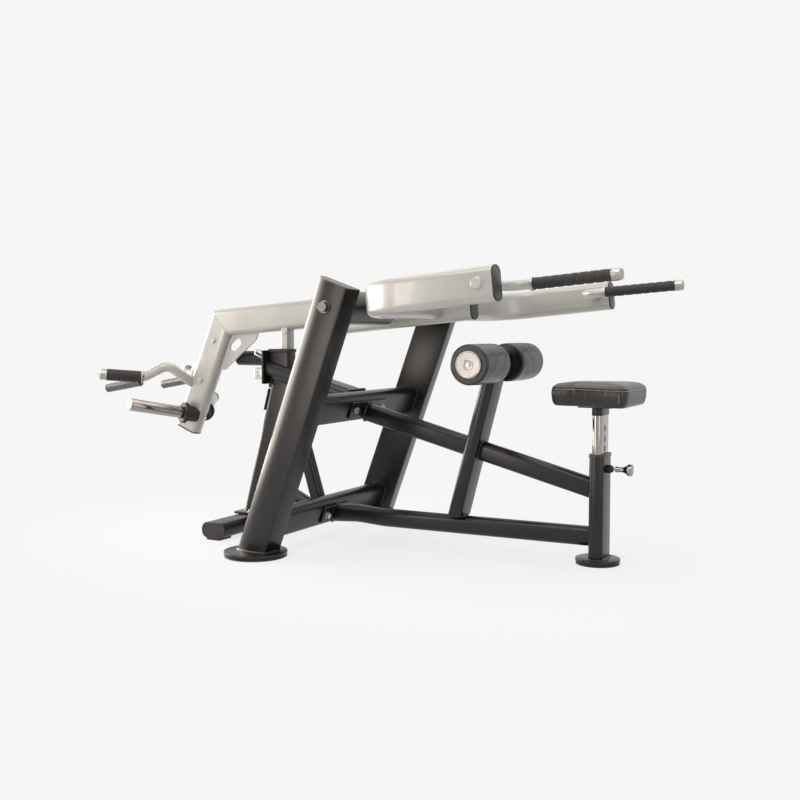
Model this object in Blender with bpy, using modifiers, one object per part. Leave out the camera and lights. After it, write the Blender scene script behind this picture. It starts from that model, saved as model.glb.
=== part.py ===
"""Plate-loaded triceps machine: a leaning frame, a lever on a cross axle, a seat on a post.

Metres. X runs towards the seat, Y across the machine, Z up. The pieces are drawn from a
point on the floor near the feet of the two leaning uprights; the root empty then moves
the machine so that its origin is under the middle of the seat's foot.
"""
import math

import bmesh
import bpy
from mathutils import Matrix, Vector

for old in list(bpy.data.objects):
    bpy.data.objects.remove(old)

# Clearance between pieces that touch, and how deep a welded piece reaches into its carrier
GAP = 0.0003
RUNNING = 0.0003
WELD = 0.0015

# Flat-sided tube of the frame and the lever
TUBE_WIDTH = 0.108
TUBE_DEPTH = 0.060
TUBE_BULGE = 0.022
TUBE_WALL = 0.003
CAP_THICKNESS = 0.008
FOOT_CAP = 0.004

# Uprights: the lean, the pivot they carry, and their section
LEAN = math.radians(20.0)
PIVOT_X = 0.325
PIVOT_Z = 0.855
UPRIGHT_INNER = 0.388
UPRIGHT_REACH = 0.075
UPRIGHT_WIDE = 0.141
UPRIGHT_CREASE = 0.0115
UPRIGHT_SWELL = 0.005
UPRIGHT_SOFT = 0.042
UPRIGHT_WALL = 0.004
UPRIGHT_ABOVE_PIVOT = 0.075
UPRIGHT_TOP = PIVOT_Z + UPRIGHT_ABOVE_PIVOT
UPRIGHT_CAP = 0.006

# Feet under the uprights and under the seat tube
PAD_THICKNESS = 0.008
FLANGE_THICKNESS = 0.012
UPRIGHT_FLANGE = 0.220
SEAT_FLANGE = 0.149
FLANGE_X = 0.020
FLANGE_EDGE = 0.0015

# Cross members between the uprights
UPPER_MEMBER_Z = 0.503
LOWER_MEMBER_Z = 0.105

# Legs from the cross members to the seat
LEG_WIDTH = 0.045
UPPER_LEG_HEIGHT = 0.068
UPPER_LEG_FALL = math.radians(14.8)
UPPER_LEG_DROP = 0.011
LOWER_LEG_HEIGHT = 0.065
LOWER_LEG_Z = 0.0905
LOWER_LEG_KNEE = 0.300
LOWER_LEG_BEND = 0.190
LEG_WALL = 0.003
LEG_CORNER = 0.012
END_PLATE = 0.008
UPPER_PLATE_WIDTH = 0.260
LOWER_PLATE_WIDTH = 0.180
PLATE_HEIGHT = 0.064
UPPER_PLATE_BOLT = 0.093
LOWER_PLATE_BOLT = 0.060

# Roller post and the two rollers
ROLLER_X = 0.750
ROLLER_Z = 0.667
ROLLER_DIAMETER = 0.136
ROLLER_INNER = 0.060
ROLLER_LENGTH = 0.203
ROLLER_POST_DEPTH = 0.080
ROLLER_POST_FOOT = 0.598
ROLLER_POST_TOP = 0.700
AXLE_DIAMETER = 0.025
DISC_DIAMETER = 0.090
DISC_THICKNESS = 0.004

# Seat tube, post and pad
SEAT_X = 1.108
SEAT_TUBE = 0.050
SEAT_TUBE_TOP = 0.365
SEAT_WALL = 0.003
POST_WIDTH = 0.038
POST_TOP = 0.5245
POST_BOTTOM = 0.150
POST_WALL = 0.003
BUSH_LIP = 0.012
BUSH_LENGTH = 0.080
PIN_Z = 0.3205
PIN_DIAMETER = 0.010
PIN_HOUSING = 0.020
PIN_OFFSET = 0.002
PIN_PUSH = 0.009
HOLE_PITCH = 0.0337
HOLE_HEIGHT = 0.026
HOLE_WIDTH = 0.013
SEAT_BAND = 0.025
SEAT_PLATE = 0.005
SEAT_PLATE_LENGTH = 0.180
SEAT_PLATE_WIDTH = 0.150
PAD_NOSE = 0.965
PAD_REAR = 1.240
PAD_HEIGHT = 0.075
PAD_CROWN = 0.006
PAD_NOSE_WIDTH = 0.180
PAD_WAIST_WIDTH = 0.196
PAD_REAR_WIDTH = 0.282

# Rear foot, column, braces and the head that stops the lever
FOOT_X = -0.280
FOOT_BAR_WIDTH = 0.105
FOOT_BAR_DEPTH = 0.057
FOOT_BAR_HALF = 0.270
FOOT_PAD_LENGTH = 0.070
FOOT_PAD_WIDTH = 0.060
COLUMN_LEAN = math.radians(14.5)
COLUMN_FOOT_X = -0.268
COLUMN_PLATE = 0.008
COLUMN_PLATE_SIZE = 0.140
BRACE_WIDTH = 0.056
BRACE_DEPTH = 0.045
LOW_BRACE_WIDTH = 0.050
LINK_FALL = math.radians(15.0)
LINK_X = 0.0702
LINK_Z = 0.561
LINK_PLATE_SHIFT = 0.020
LINK_PLATE_MARGIN = 0.020
HEAD_X = -0.204
HEAD_PLATE = 0.008
HEAD_TOP = 0.704
HEAD_BOTTOM = 0.575
STOP_TOP = 0.709
STOP_PAD = 0.012
STOP_END = -0.105
STOP_BAR_DIAMETER = 0.058
STOP_BAR_Y = 0.045
STOP_BAR_Z = 0.671
STOP_BAR_END = -0.385
STOP_POST_FOOT = 0.600

# Braces, from foot to head in the side view
STEEP_FOOT = (0.009, 0.145)
STEEP_HEAD = (-0.128, 0.590)
LOW_FOOT = (0.004, 0.098)
LOW_HEAD = (-0.225, 0.208)

# Pivot: fixed shaft and covers, turning hub with two bearings
SHAFT_DIAMETER = 0.030
COVER_DIAMETER = 0.114
COVER_WALL = 0.004
COVER_DISC = 0.008
HUB_WIDTH = 0.110
HUB_WALL = 0.007
BEARING_WIDTH = 0.020
HUB_CLEARANCE = 0.0015

# Lever beams, drop leg and yoke
REAR_BEAM_SLOPE = 0.0775
REAR_BEAM_RISE = 0.014
MITRE_X = -0.4245
LEG_LEAN = 0.4257
DROP_LEG_END = 0.388
FRONT_BEAM_SLOPE = 0.0942
FRONT_BEAM_SINK = 0.0158
FRONT_BEAM_START = 0.100
FRONT_BEAM_END = 0.650
YOKE_X = 0.510
YOKE_Z = 0.870
YOKE_TILT = math.radians(5.4)
YOKE_HALF = 0.578
YOKE_BEND = 0.170
YOKE_END = 0.973
GUSSET_THICKNESS = 0.008
GUSSET_BEAM_X = -0.2595
GUSSET_LEG_Z = 0.622
SIDE_BOLT_HEIGHTS = (0.740, 0.5826)
FRONT_BOLT_HEIGHTS = (0.600, 0.449)
STRIP_LOW = 0.498
STRIP_HIGH = 0.672
STOP_FOOT_X = -0.130
STOP_FOOT_LENGTH = 0.040
STOP_FOOT_WIDTH = 0.050
STOP_BOLT_Z = 0.740

# Handles in front, handles and pegs behind, plate horns
HANDLE_DIAMETER = 0.032
HANDLE_WALL = 0.0035
HANDLE_X = 0.925
HANDLE_Z = 0.912
HANDLE_CORNER_Y = 0.3665
HANDLE_BEND = 0.060
HANDLE_STUB = 0.004
FRONT_GRIP_START = 0.090
FRONT_GRIP_LENGTH = 0.248
FRONT_GRIP_DIAMETER = 0.037
FRONT_CAP_LENGTH = 0.030
COLLAR_LENGTH = 0.010
REAR_HANDLE_DIAMETER = 0.038
REAR_ROOT = (-0.569, 0.567, -0.015)
REAR_APEX = (-0.630, 0.643, -0.100)
REAR_COLLAR = (-0.704, 0.5955, -0.155)
REAR_GRIP_DIAMETER = 0.046
REAR_GRIP_START = 0.012
REAR_GRIP_LENGTH = 0.130
REAR_CAP_LENGTH = 0.028
PEG_DIAMETER = 0.036
PEG_FRONT = (-0.712, 0.578, -0.165)
PEG_REAR = (-0.880, 0.549, -0.170)
HORN_DIAMETER = 0.048
HORN_WALL = 0.004
HORN_LENGTH = 0.262
HORN_Z = 0.452
HORN_SWEEP = math.radians(28)
HORN_RISE = math.radians(10.5)
RING_DIAMETER = 0.084
RING_LENGTH = 0.020

ROUND_STEPS = 20
SMALL_STEPS = 12

X_AXIS = Vector((1, 0, 0))
Y_AXIS = Vector((0, 1, 0))
Z_AXIS = Vector((0, 0, 1))
UP_LEAN = Vector((math.sin(LEAN), 0, math.cos(LEAN)))
FORWARD_LEAN = Vector((math.cos(LEAN), 0, -math.sin(LEAN)))
PIVOT = Vector((PIVOT_X, 0, PIVOT_Z))

parts = bpy.data.collections.new("triceps_machine")
cutters = bpy.data.collections.new("cutters")
bpy.context.scene.collection.children.link(parts)
bpy.context.scene.collection.children.link(cutters)


def finish(name, colour, roughness, metallic):
    """Principled material with one plain colour."""
    made = bpy.data.materials.new(name)
    made.use_nodes = True
    shader = made.node_tree.nodes["Principled BSDF"]
    shader.inputs["Base Color"].default_value = (*colour, 1)
    shader.inputs["Roughness"].default_value = roughness
    shader.inputs["Metallic"].default_value = metallic
    return made


BLACK_PAINT = finish("black_paint", (0.020, 0.019, 0.019), 0.35, 0.0)
SILVER_PAINT = finish("silver_paint", (0.42, 0.40, 0.36), 0.38, 0.55)
CHROME = finish("chrome", (0.62, 0.61, 0.59), 0.12, 1.0)
ALUMINIUM = finish("aluminium", (0.72, 0.71, 0.69), 0.28, 1.0)
DARK_STEEL = finish("dark_steel", (0.055, 0.045, 0.042), 0.35, 0.6)
ZINC = finish("zinc", (0.50, 0.50, 0.49), 0.32, 1.0)
RUBBER = finish("rubber", (0.012, 0.012, 0.012), 0.75, 0.0)
PLASTIC = finish("black_plastic", (0.018, 0.018, 0.019), 0.42, 0.0)
VINYL = finish("black_vinyl", (0.022, 0.021, 0.022), 0.33, 0.0)


def point(x, z, y=0.0):
    """A point of the side view, on the centre plane unless y says otherwise."""
    return Vector((x, y, z))


def axis_x(z):
    """X of the uprights' centre line at the height z."""
    return PIVOT_X + (z - PIVOT_Z) * math.tan(LEAN)


def oval(width, depth, bulge, steps=6):
    """Flat-sided outline whose ends are half ellipses, bulge long."""
    flat = width / 2 - bulge
    outline = []
    for side in (1, -1):
        for k in range(steps + 1):
            angle = math.pi * (k / steps - 0.5)
            outline.append((side * (flat + bulge * math.cos(angle)),
                            side * depth / 2 * math.sin(angle)))
    return outline


def circle(radius, steps=ROUND_STEPS):
    """Round outline."""
    return [(radius * math.cos(2 * math.pi * k / steps), radius * math.sin(2 * math.pi * k / steps))
            for k in range(steps)]


def rounded(corners, steps=3):
    """Convex outline from corners (x, y, radius), each corner an arc of so many steps.

    Steps is one number for all the corners, or a tuple with one for each.
    """
    outline = []
    for k, (x, y, radius) in enumerate(corners):
        here = Vector((x, y))
        before = (Vector(corners[k - 1][:2]) - here).normalized()
        after = (Vector(corners[(k + 1) % len(corners)][:2]) - here).normalized()
        half = before.angle(after) / 2
        centre = here + (before + after).normalized() * radius / math.sin(half)
        first = here + before * radius / math.tan(half) - centre
        last = here + after * radius / math.tan(half) - centre
        sweep = first.angle_signed(last)
        count = steps[k] if isinstance(steps, tuple) else steps
        for j in range(count + 1):
            angle = -sweep * j / count
            outline.append((centre.x + first.x * math.cos(angle) - first.y * math.sin(angle),
                            centre.y + first.x * math.sin(angle) + first.y * math.cos(angle)))
    return outline


def inset(corners, wall):
    """Corners of the same convex outline moved in by wall."""
    moved = []
    for k, (x, y, radius) in enumerate(corners):
        here = Vector((x, y))
        before = (here - Vector(corners[k - 1][:2])).normalized()
        after = (Vector(corners[(k + 1) % len(corners)][:2]) - here).normalized()
        normal_a = Vector((-before.y, before.x))
        normal_b = Vector((-after.y, after.x))
        shift = (normal_a + normal_b) * wall / (1 + normal_a.dot(normal_b))
        moved.append((x + shift.x, y + shift.y, max(radius - wall, 0.0008)))
    return moved


def box_corners(width, depth, radius):
    """Corners of a rounded rectangle, counter-clockwise."""
    return [(width / 2, -depth / 2, radius), (width / 2, depth / 2, radius),
            (-width / 2, depth / 2, radius), (-width / 2, -depth / 2, radius)]


def box_loops(width, depth, radius, wall, steps=2):
    """Outer and inner outline of a rectangular tube."""
    corners = box_corners(width, depth, radius)
    return [rounded(corners, steps), rounded(inset(corners, wall), steps)]


def tube_loops(width=TUBE_WIDTH, depth=TUBE_DEPTH, wall=TUBE_WALL):
    """Outer and inner outline of the flat-sided tube."""
    return [oval(width, depth, TUBE_BULGE),
            oval(width - 2 * wall, depth - 2 * wall, TUBE_BULGE - wall)]


def grown_tube(extra, width=TUBE_WIDTH, depth=TUBE_DEPTH):
    """Outline of the flat-sided tube with extra all round."""
    return [oval(width + 2 * extra, depth + 2 * extra, TUBE_BULGE + extra)]


def filleted(corners, radii, steps=6):
    """Path through corners whose inner corners are arcs of the given radii."""
    path = [Vector(corners[0])]
    for before, here, after, radius in zip(corners, corners[1:], corners[2:], radii):
        here = Vector(here)
        back = (Vector(before) - here).normalized()
        ahead = (Vector(after) - here).normalized()
        half = back.angle(ahead) / 2
        centre = here + (back + ahead).normalized() * radius / math.sin(half)
        first = here + back * radius / math.tan(half) - centre
        last = here + ahead * radius / math.tan(half) - centre
        turn = first.rotation_difference(last)
        for k in range(steps + 1):
            part_turn = turn.copy()
            part_turn.identity()
            part_turn = part_turn.slerp(turn, k / steps)
            path.append(centre + part_turn @ first)
    path.append(Vector(corners[-1]))
    return path


def add_object(name, mesh, surface, sharp=math.radians(35)):
    """Link a finished mesh as a part, or as a cutter when it has no surface."""
    made = bpy.data.objects.new(name, mesh)
    if surface is None:
        cutters.objects.link(made)
        made.hide_render = True
        made.display_type = 'WIRE'
    else:
        parts.objects.link(made)
        mesh.materials.append(surface)
        mesh.shade_smooth()
        mesh.set_sharp_from_angle(angle=sharp)
    return made


def swept(name, surface, loops, path, across, cuts=(None, None)):
    """Outlines carried along a path with mitred corners; two outlines make a hollow tube.

    Each outline point (u, v) lies at centre + u * side + v * (run x side), then slides
    along the run onto the plane of its corner or of the cut that ends the tube.
    """
    path = [Vector(p) for p in path]
    runs = [(b - a).normalized() for a, b in zip(path, path[1:])]
    across = Vector(across)
    sides = [(across - across.dot(runs[0]) * runs[0]).normalized()]
    for before, after in zip(runs, runs[1:]):
        sides.append(before.rotation_difference(after) @ sides[-1])
    planes = [cuts[0] or runs[0]]
    planes += [(a + b).normalized() for a, b in zip(runs, runs[1:])]
    planes.append(cuts[1] or runs[-1])

    def station(k, outline):
        run = runs[min(k, len(runs) - 1)]
        side = sides[min(k, len(runs) - 1)]
        rise = run.cross(side)
        ring = []
        for u, v in outline:
            place = path[k] + u * side + v * rise
            place += run * ((path[k] - place).dot(planes[k]) / run.dot(planes[k]))
            ring.append(place)
        return ring

    stops = [(k, loops[0]) for k in range(len(path))]
    if len(loops) > 1:
        stops += [(k, loops[1]) for k in reversed(range(len(path)))] + [stops[0]]
    mesh = bmesh.new()
    ring = [mesh.verts.new(p) for p in station(*stops[0])]
    edges = [mesh.edges.new(pair) for pair in zip(ring, ring[1:] + ring[:1])]
    first_rim = edges
    for stop in stops[1:]:
        made = bmesh.ops.extrude_edge_only(mesh, edges=edges)["geom"]
        fresh = {v for v in made if isinstance(v, bmesh.types.BMVert)}
        ring = [next(e.other_vert(v) for e in v.link_edges if e.other_vert(v) in fresh) for v in ring]
        for vertex, place in zip(ring, station(*stop)):
            vertex.co = place
        edges = [e for e in made if isinstance(e, bmesh.types.BMEdge)
                 and e.verts[0] in fresh and e.verts[1] in fresh]
    if len(loops) > 1:
        bmesh.ops.remove_doubles(mesh, verts=mesh.verts[:], dist=0.000001)
    else:
        bmesh.ops.contextual_create(mesh, geom=first_rim)
        bmesh.ops.contextual_create(mesh, geom=edges)
    bmesh.ops.recalc_face_normals(mesh, faces=mesh.faces[:])
    data = bpy.data.meshes.new(name)
    mesh.to_mesh(data)
    mesh.free()
    return add_object(name, data, surface)


def block(name, surface, low, high, turn=None, pivot=None, edge=0.0):
    """Box between two corners, turned about Y by turn at pivot, with rounded edges."""
    mesh = bmesh.new()
    bmesh.ops.create_cube(mesh, size=1)
    low = Vector(low)
    high = Vector(high)
    bmesh.ops.scale(mesh, vec=high - low, verts=mesh.verts[:])
    bmesh.ops.translate(mesh, vec=(low + high) / 2, verts=mesh.verts[:])
    if edge:
        bmesh.ops.bevel(mesh, geom=mesh.edges[:], offset=edge, segments=1, affect='EDGES')
    if turn:
        bmesh.ops.rotate(mesh, cent=pivot, matrix=Matrix.Rotation(turn, 3, 'Y'), verts=mesh.verts[:])
    data = bpy.data.meshes.new(name)
    mesh.to_mesh(data)
    mesh.free()
    return add_object(name, data, surface)


def turned(name, surface, profile, base, axis, steps=ROUND_STEPS):
    """Solid of revolution from a profile (radius, height) running down its outer side."""
    mesh = bmesh.new()
    ring = [mesh.verts.new((radius, 0, height)) for radius, height in profile]
    for pair in zip(ring, ring[1:]):
        mesh.edges.new(pair)
    if profile[0][0] > 0:
        mesh.edges.new((ring[-1], ring[0]))
    data = bpy.data.meshes.new(name)
    mesh.to_mesh(data)
    mesh.free()
    made = add_object(name, data, surface)
    screw = made.modifiers.new("turn", 'SCREW')
    screw.steps = steps
    screw.render_steps = steps
    screw.use_merge_vertices = True
    screw.merge_threshold = 0.00001
    made.matrix_world = (Matrix.Translation(base)
                         @ Vector(axis).to_track_quat('Z', 'Y').to_matrix().to_4x4())
    return made


def bore(radius, steps=ROUND_STEPS):
    """Radius of a bore of so many sides whose flats clear a round of the given radius."""
    return (radius + GAP) / math.cos(math.pi / steps)


def ring_profile(inner, outer, low, high, edge=0.0):
    """Profile of a ring or sleeve with chamfered outer edges."""
    if edge:
        return [(inner, high), (outer - edge, high), (outer, high - edge),
                (outer, low + edge), (outer - edge, low), (inner, low)]
    return [(inner, high), (outer, high), (outer, low), (inner, low)]


def disc_profile(radius, low, high, edge=0.0):
    """Profile of a plain disc or rod."""
    if edge:
        return [(0, high), (radius - edge, high), (radius, high - edge),
                (radius, low + edge), (radius - edge, low), (0, low)]
    return [(0, high), (radius, high), (radius, low), (0, low)]


def evaluated(piece):
    """Mesh of a piece in world coordinates with its modifiers applied."""
    bpy.context.view_layer.update()
    graph = bpy.context.evaluated_depsgraph_get()
    data = bpy.data.meshes.new_from_object(piece.evaluated_get(graph))
    data.transform(piece.matrix_world)
    return data


def mirrored(name, surface, piece):
    """The same piece on the other side of the centre plane."""
    mesh = bmesh.new()
    mesh.from_mesh(evaluated(piece))
    bmesh.ops.scale(mesh, vec=(1, -1, 1), verts=mesh.verts[:])
    bmesh.ops.reverse_faces(mesh, faces=mesh.faces[:])
    data = bpy.data.meshes.new(name)
    mesh.to_mesh(data)
    mesh.free()
    return add_object(name, data, surface)


def combine(piece, others, operation):
    """Cut others out of a piece, or weld them to it, and keep the result as its mesh."""
    for other in others:
        change = piece.modifiers.new("combine", 'BOOLEAN')
        change.operation = operation
        change.solver = 'EXACT'
        change.object = other
    data = evaluated(piece)
    mesh = bmesh.new()
    mesh.from_mesh(data)
    bmesh.ops.remove_doubles(mesh, verts=mesh.verts[:], dist=0.00001)
    bmesh.ops.dissolve_degenerate(mesh, edges=mesh.edges[:], dist=0.00001)
    mesh.to_mesh(data)
    mesh.free()
    piece.modifiers.clear()
    piece.data = data
    piece.matrix_world = Matrix.Identity(4)
    data.shade_smooth()
    data.set_sharp_from_angle(angle=math.radians(35))
    if operation == 'UNION':
        for other in others:
            bpy.data.objects.remove(other)
    return piece


def cut(piece, *tools):
    """Take the tools' shapes out of a piece."""
    return combine(piece, tools, 'DIFFERENCE')


def rod(name, surface, radius, start, end, steps=ROUND_STEPS, edge=0.0):
    """Round bar between two points."""
    start = Vector(start)
    end = Vector(end)
    return turned(name, surface, disc_profile(radius, 0, (end - start).length, edge),
                  start, end - start, steps)


def bolt(seat, axis, size, washer=True):
    """Hexagon head on a washer, reaching into the piece that carries it, along axis."""
    axis = Vector(axis).normalized()
    thick = size * 0.12 if washer else 0
    height = thick + size * 0.36
    pieces = [turned("head", ZINC, disc_profile(size / math.sqrt(3), -WELD, height, size * 0.06),
                     Vector(seat), axis, 6)]
    if washer:
        pieces.append(turned("washer", ZINC, disc_profile(size * 0.68, -WELD, thick), Vector(seat), axis,
                             SMALL_STEPS))
    return pieces


def weld(piece, others):
    """Join touching pieces to the piece that carries them."""
    return combine(piece, others, 'UNION')


# Feet: a rubber pad on the floor and a steel disc on it, welded to its tube
FLANGE_BASE = PAD_THICKNESS + GAP
FLANGE_TOP = FLANGE_BASE + FLANGE_THICKNESS
UPRIGHT_MIDDLE = UPRIGHT_INNER + UPRIGHT_REACH / 2


def floor_pad(name, x, y, size):
    """Rubber disc under a foot."""
    return turned(name, RUBBER, disc_profile(size / 2 - FLANGE_EDGE, 0, PAD_THICKNESS), (x, y, 0), Z_AXIS)


def flange(x, y, size):
    """Steel disc of a foot."""
    return turned("disc", BLACK_PAINT, disc_profile(size / 2, FLANGE_BASE, FLANGE_TOP, FLANGE_EDGE),
                  (x, y, 0), Z_AXIS)


pad_right = floor_pad("floor_pad_right", FLANGE_X, UPRIGHT_MIDDLE, UPRIGHT_FLANGE)
mirrored("floor_pad_left", RUBBER, pad_right)
floor_pad("floor_pad_seat", SEAT_X, 0, SEAT_FLANGE)

# Uprights: a wide flat inner face, a narrower outer face with one soft and one crisp edge
upright_corners = [(UPRIGHT_WIDE / 2, 0, 0.005),
                   (UPRIGHT_WIDE / 2 - UPRIGHT_CREASE, UPRIGHT_REACH, 0.004),
                   (-UPRIGHT_WIDE / 2 - UPRIGHT_SWELL, UPRIGHT_REACH, UPRIGHT_SOFT),
                   (-UPRIGHT_WIDE / 2, 0, 0.005)]
UPRIGHT_STEPS = (2, 2, 8, 2)
upright_loops = [rounded(upright_corners, UPRIGHT_STEPS),
                 rounded(inset(upright_corners, UPRIGHT_WALL), UPRIGHT_STEPS)]
upright_foot = point(axis_x(FLANGE_TOP - WELD), FLANGE_TOP - WELD, UPRIGHT_INNER)
upright_head = point(axis_x(UPRIGHT_TOP), UPRIGHT_TOP, UPRIGHT_INNER)
upright_right = swept("upright_right", BLACK_PAINT, upright_loops, [upright_foot, upright_head],
                      FORWARD_LEAN, (Z_AXIS, None))
shaft_radius = SHAFT_DIAMETER / 2
shaft_bore = rod("shaft_bore", None, bore(shaft_radius), PIVOT,
                 PIVOT + Y_AXIS * (UPRIGHT_INNER + 2 * UPRIGHT_REACH))
weld(upright_right, [flange(FLANGE_X, UPRIGHT_MIDDLE, UPRIGHT_FLANGE)])
cut(upright_right, shaft_bore)
mirrored("upright_left", BLACK_PAINT, upright_right)
cap_base = upright_head + UP_LEAN * GAP
crown_base = cap_base + UP_LEAN * UPRIGHT_CAP * 0.6
cap_right = swept("upright_cap_right", PLASTIC, [upright_loops[0]], [cap_base, crown_base], FORWARD_LEAN)
crown = swept("crown", PLASTIC, [rounded(inset(upright_corners, 0.006), UPRIGHT_STEPS)],
              [crown_base - UP_LEAN * WELD, cap_base + UP_LEAN * UPRIGHT_CAP], FORWARD_LEAN)
weld(cap_right, [crown])
mirrored("upright_cap_left", PLASTIC, cap_right)

# Cross members, with their long way along the lean
member_ends = UPRIGHT_INNER - GAP
upper_centre = point(axis_x(UPPER_MEMBER_Z), UPPER_MEMBER_Z)
lower_centre = point(axis_x(LOWER_MEMBER_Z), LOWER_MEMBER_Z)
for name, centre in (("upper_cross_member", upper_centre), ("lower_cross_member", lower_centre)):
    swept(name, BLACK_PAINT, tube_loops(), [centre - Y_AXIS * member_ends, centre + Y_AXIS * member_ends],
          UP_LEAN)
lower_envelope = swept("lower_envelope", None, grown_tube(GAP),
                       [lower_centre - Y_AXIS * member_ends, lower_centre + Y_AXIS * member_ends], UP_LEAN)


def end_plate(name, centre, facing, width, offset=0.0):
    """Plate on the flat face of a leaning cross member, facing along FORWARD_LEAN * facing."""
    seat = centre + FORWARD_LEAN * facing * (TUBE_DEPTH / 2 + GAP) + UP_LEAN * offset
    return swept(name, BLACK_PAINT, [rounded(box_corners(PLATE_HEIGHT, width, 0.008), 2)],
                 [seat, seat + FORWARD_LEAN * facing * END_PLATE], UP_LEAN)


PLATE_FACE = TUBE_DEPTH / 2 + GAP + END_PLATE


def plate_bolts(centre, spread):
    """Bolts either side of a leg through its end plate."""
    seat = centre + FORWARD_LEAN * PLATE_FACE
    return (bolt(seat - Y_AXIS * spread, FORWARD_LEAN, 0.020)
            + bolt(seat + Y_AXIS * spread, FORWARD_LEAN, 0.020))


# Roller post, standing on the lower leg and leaning towards the seat
post_slope = (ROLLER_X - 0.008 - ROLLER_POST_FOOT) / (ROLLER_Z - 0.120)
post_run = Vector((post_slope, 0, 1)).normalized()
post_foot_z = LOWER_LEG_Z + LOWER_LEG_HEIGHT / 2 + GAP
post_foot = point(ROLLER_POST_FOOT + post_slope * (post_foot_z - 0.120), post_foot_z)
post_head = point(ROLLER_POST_FOOT + post_slope * (ROLLER_POST_TOP - 0.120), ROLLER_POST_TOP)
roller_post = swept("roller_post", BLACK_PAINT,
                    box_loops(ROLLER_POST_DEPTH, LEG_WIDTH, LEG_CORNER, LEG_WALL),
                    [post_foot, post_head], post_run.cross(Y_AXIS) * -1, (Z_AXIS, None))
roller_axis = point(ROLLER_X, ROLLER_Z)
roller_end = ROLLER_INNER + ROLLER_LENGTH
axle_end = roller_end + RUNNING + HUB_CLEARANCE
axle_hole = rod("axle_hole", None, bore(AXLE_DIAMETER / 2), roller_axis - Y_AXIS * 0.08,
                roller_axis + Y_AXIS * 0.08)
roller_axle = rod("roller_axle", ZINC, AXLE_DIAMETER / 2, roller_axis - Y_AXIS * (axle_end + WELD),
                  roller_axis + Y_AXIS * (axle_end + WELD), 16)
post_cap = swept("cap", PLASTIC, [rounded(box_corners(ROLLER_POST_DEPTH, LEG_WIDTH, LEG_CORNER), 2)],
                 [post_head - post_run * WELD, post_head + post_run * FOOT_CAP],
                 post_run.cross(Y_AXIS) * -1)
boss_start = LEG_WIDTH / 2 - WELD
bosses = [turned("boss", BLACK_PAINT, disc_profile(0.018, 0, ROLLER_INNER - HUB_CLEARANCE - boss_start),
                 roller_axis + Y_AXIS * side * boss_start, Y_AXIS * side, 16) for side in (-1, 1)]
weld(roller_post, [post_cap] + bosses)
cut(roller_post, axle_hole)
end_discs = [turned("disc", ALUMINIUM,
                    [(0, DISC_THICKNESS * 2.2), (0.008, DISC_THICKNESS * 2.2), (0.0095, DISC_THICKNESS),
                     (DISC_DIAMETER / 2 - 0.002, DISC_THICKNESS), (DISC_DIAMETER / 2, DISC_THICKNESS * 0.6),
                     (DISC_DIAMETER / 2, 0), (0, 0)],
                    roller_axis + Y_AXIS * side * axle_end, Y_AXIS * side) for side in (-1, 1)]
weld(roller_axle, end_discs)

ROLLER_STEPS = 24
roller_bore = bore(AXLE_DIAMETER / 2, ROLLER_STEPS)
roller_radius = ROLLER_DIAMETER / 2
ROLLER_DISH = 0.004
ROLLER_PIPE = 0.003
roller_profile = [(roller_bore, ROLLER_LENGTH), (0.030, ROLLER_LENGTH),
                  (0.048, ROLLER_LENGTH - ROLLER_DISH * 0.3),
                  (roller_radius - 0.010, ROLLER_LENGTH - ROLLER_DISH),
                  (roller_radius - 0.003, ROLLER_LENGTH - ROLLER_DISH * 2),
                  (roller_radius, ROLLER_LENGTH - 0.014),
                  (roller_radius - ROLLER_PIPE, ROLLER_LENGTH - 0.018),
                  (roller_radius - 0.0005, ROLLER_LENGTH - 0.024),
                  (roller_radius + 0.0005, ROLLER_LENGTH / 2)]
roller_profile += [(radius, ROLLER_LENGTH - height) for radius, height in reversed(roller_profile[:-1])]
roller_left = turned("roller_left", VINYL, roller_profile, roller_axis - Y_AXIS * ROLLER_INNER, -Y_AXIS,
                     ROLLER_STEPS)
roller_right = mirrored("roller_right", VINYL, roller_left)

# Upper leg, in two runs that meet the roller post
upper_run = Vector((math.cos(UPPER_LEG_FALL), 0, -math.sin(UPPER_LEG_FALL)))
upper_start = upper_centre + FORWARD_LEAN * (PLATE_FACE - WELD) - UP_LEAN * UPPER_LEG_DROP
upper_reach = (SEAT_X - SEAT_TUBE / 2 - GAP - upper_start.x) / upper_run.x
upper_end = upper_start + upper_run * upper_reach
leg_loops = box_loops(UPPER_LEG_HEIGHT, LEG_WIDTH, LEG_CORNER, LEG_WALL)


def meet(start, run, line_point, line_run):
    """Point where a line in the side view meets another."""
    across = Vector((-line_run.z, 0, line_run.x))
    return start + run * ((line_point - start).dot(across) / run.dot(across))


post_front = Vector((post_run.z, 0, -post_run.x))
post_half = ROLLER_POST_DEPTH / 2 + GAP
leg_meets_rear = meet(upper_start, upper_run, post_foot - post_front * post_half, post_run)
leg_meets_front = meet(upper_start, upper_run, post_foot + post_front * post_half, post_run)
upper_leg_rear = swept("upper_leg_rear", BLACK_PAINT, leg_loops, [upper_start, leg_meets_rear], Z_AXIS,
                       (FORWARD_LEAN, post_front))
weld(upper_leg_rear, [end_plate("plate", upper_centre, 1, UPPER_PLATE_WIDTH)]
     + plate_bolts(upper_centre, UPPER_PLATE_BOLT))
swept("upper_leg_front", BLACK_PAINT, leg_loops, [leg_meets_front, upper_end], Z_AXIS,
      (post_front, X_AXIS))

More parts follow.
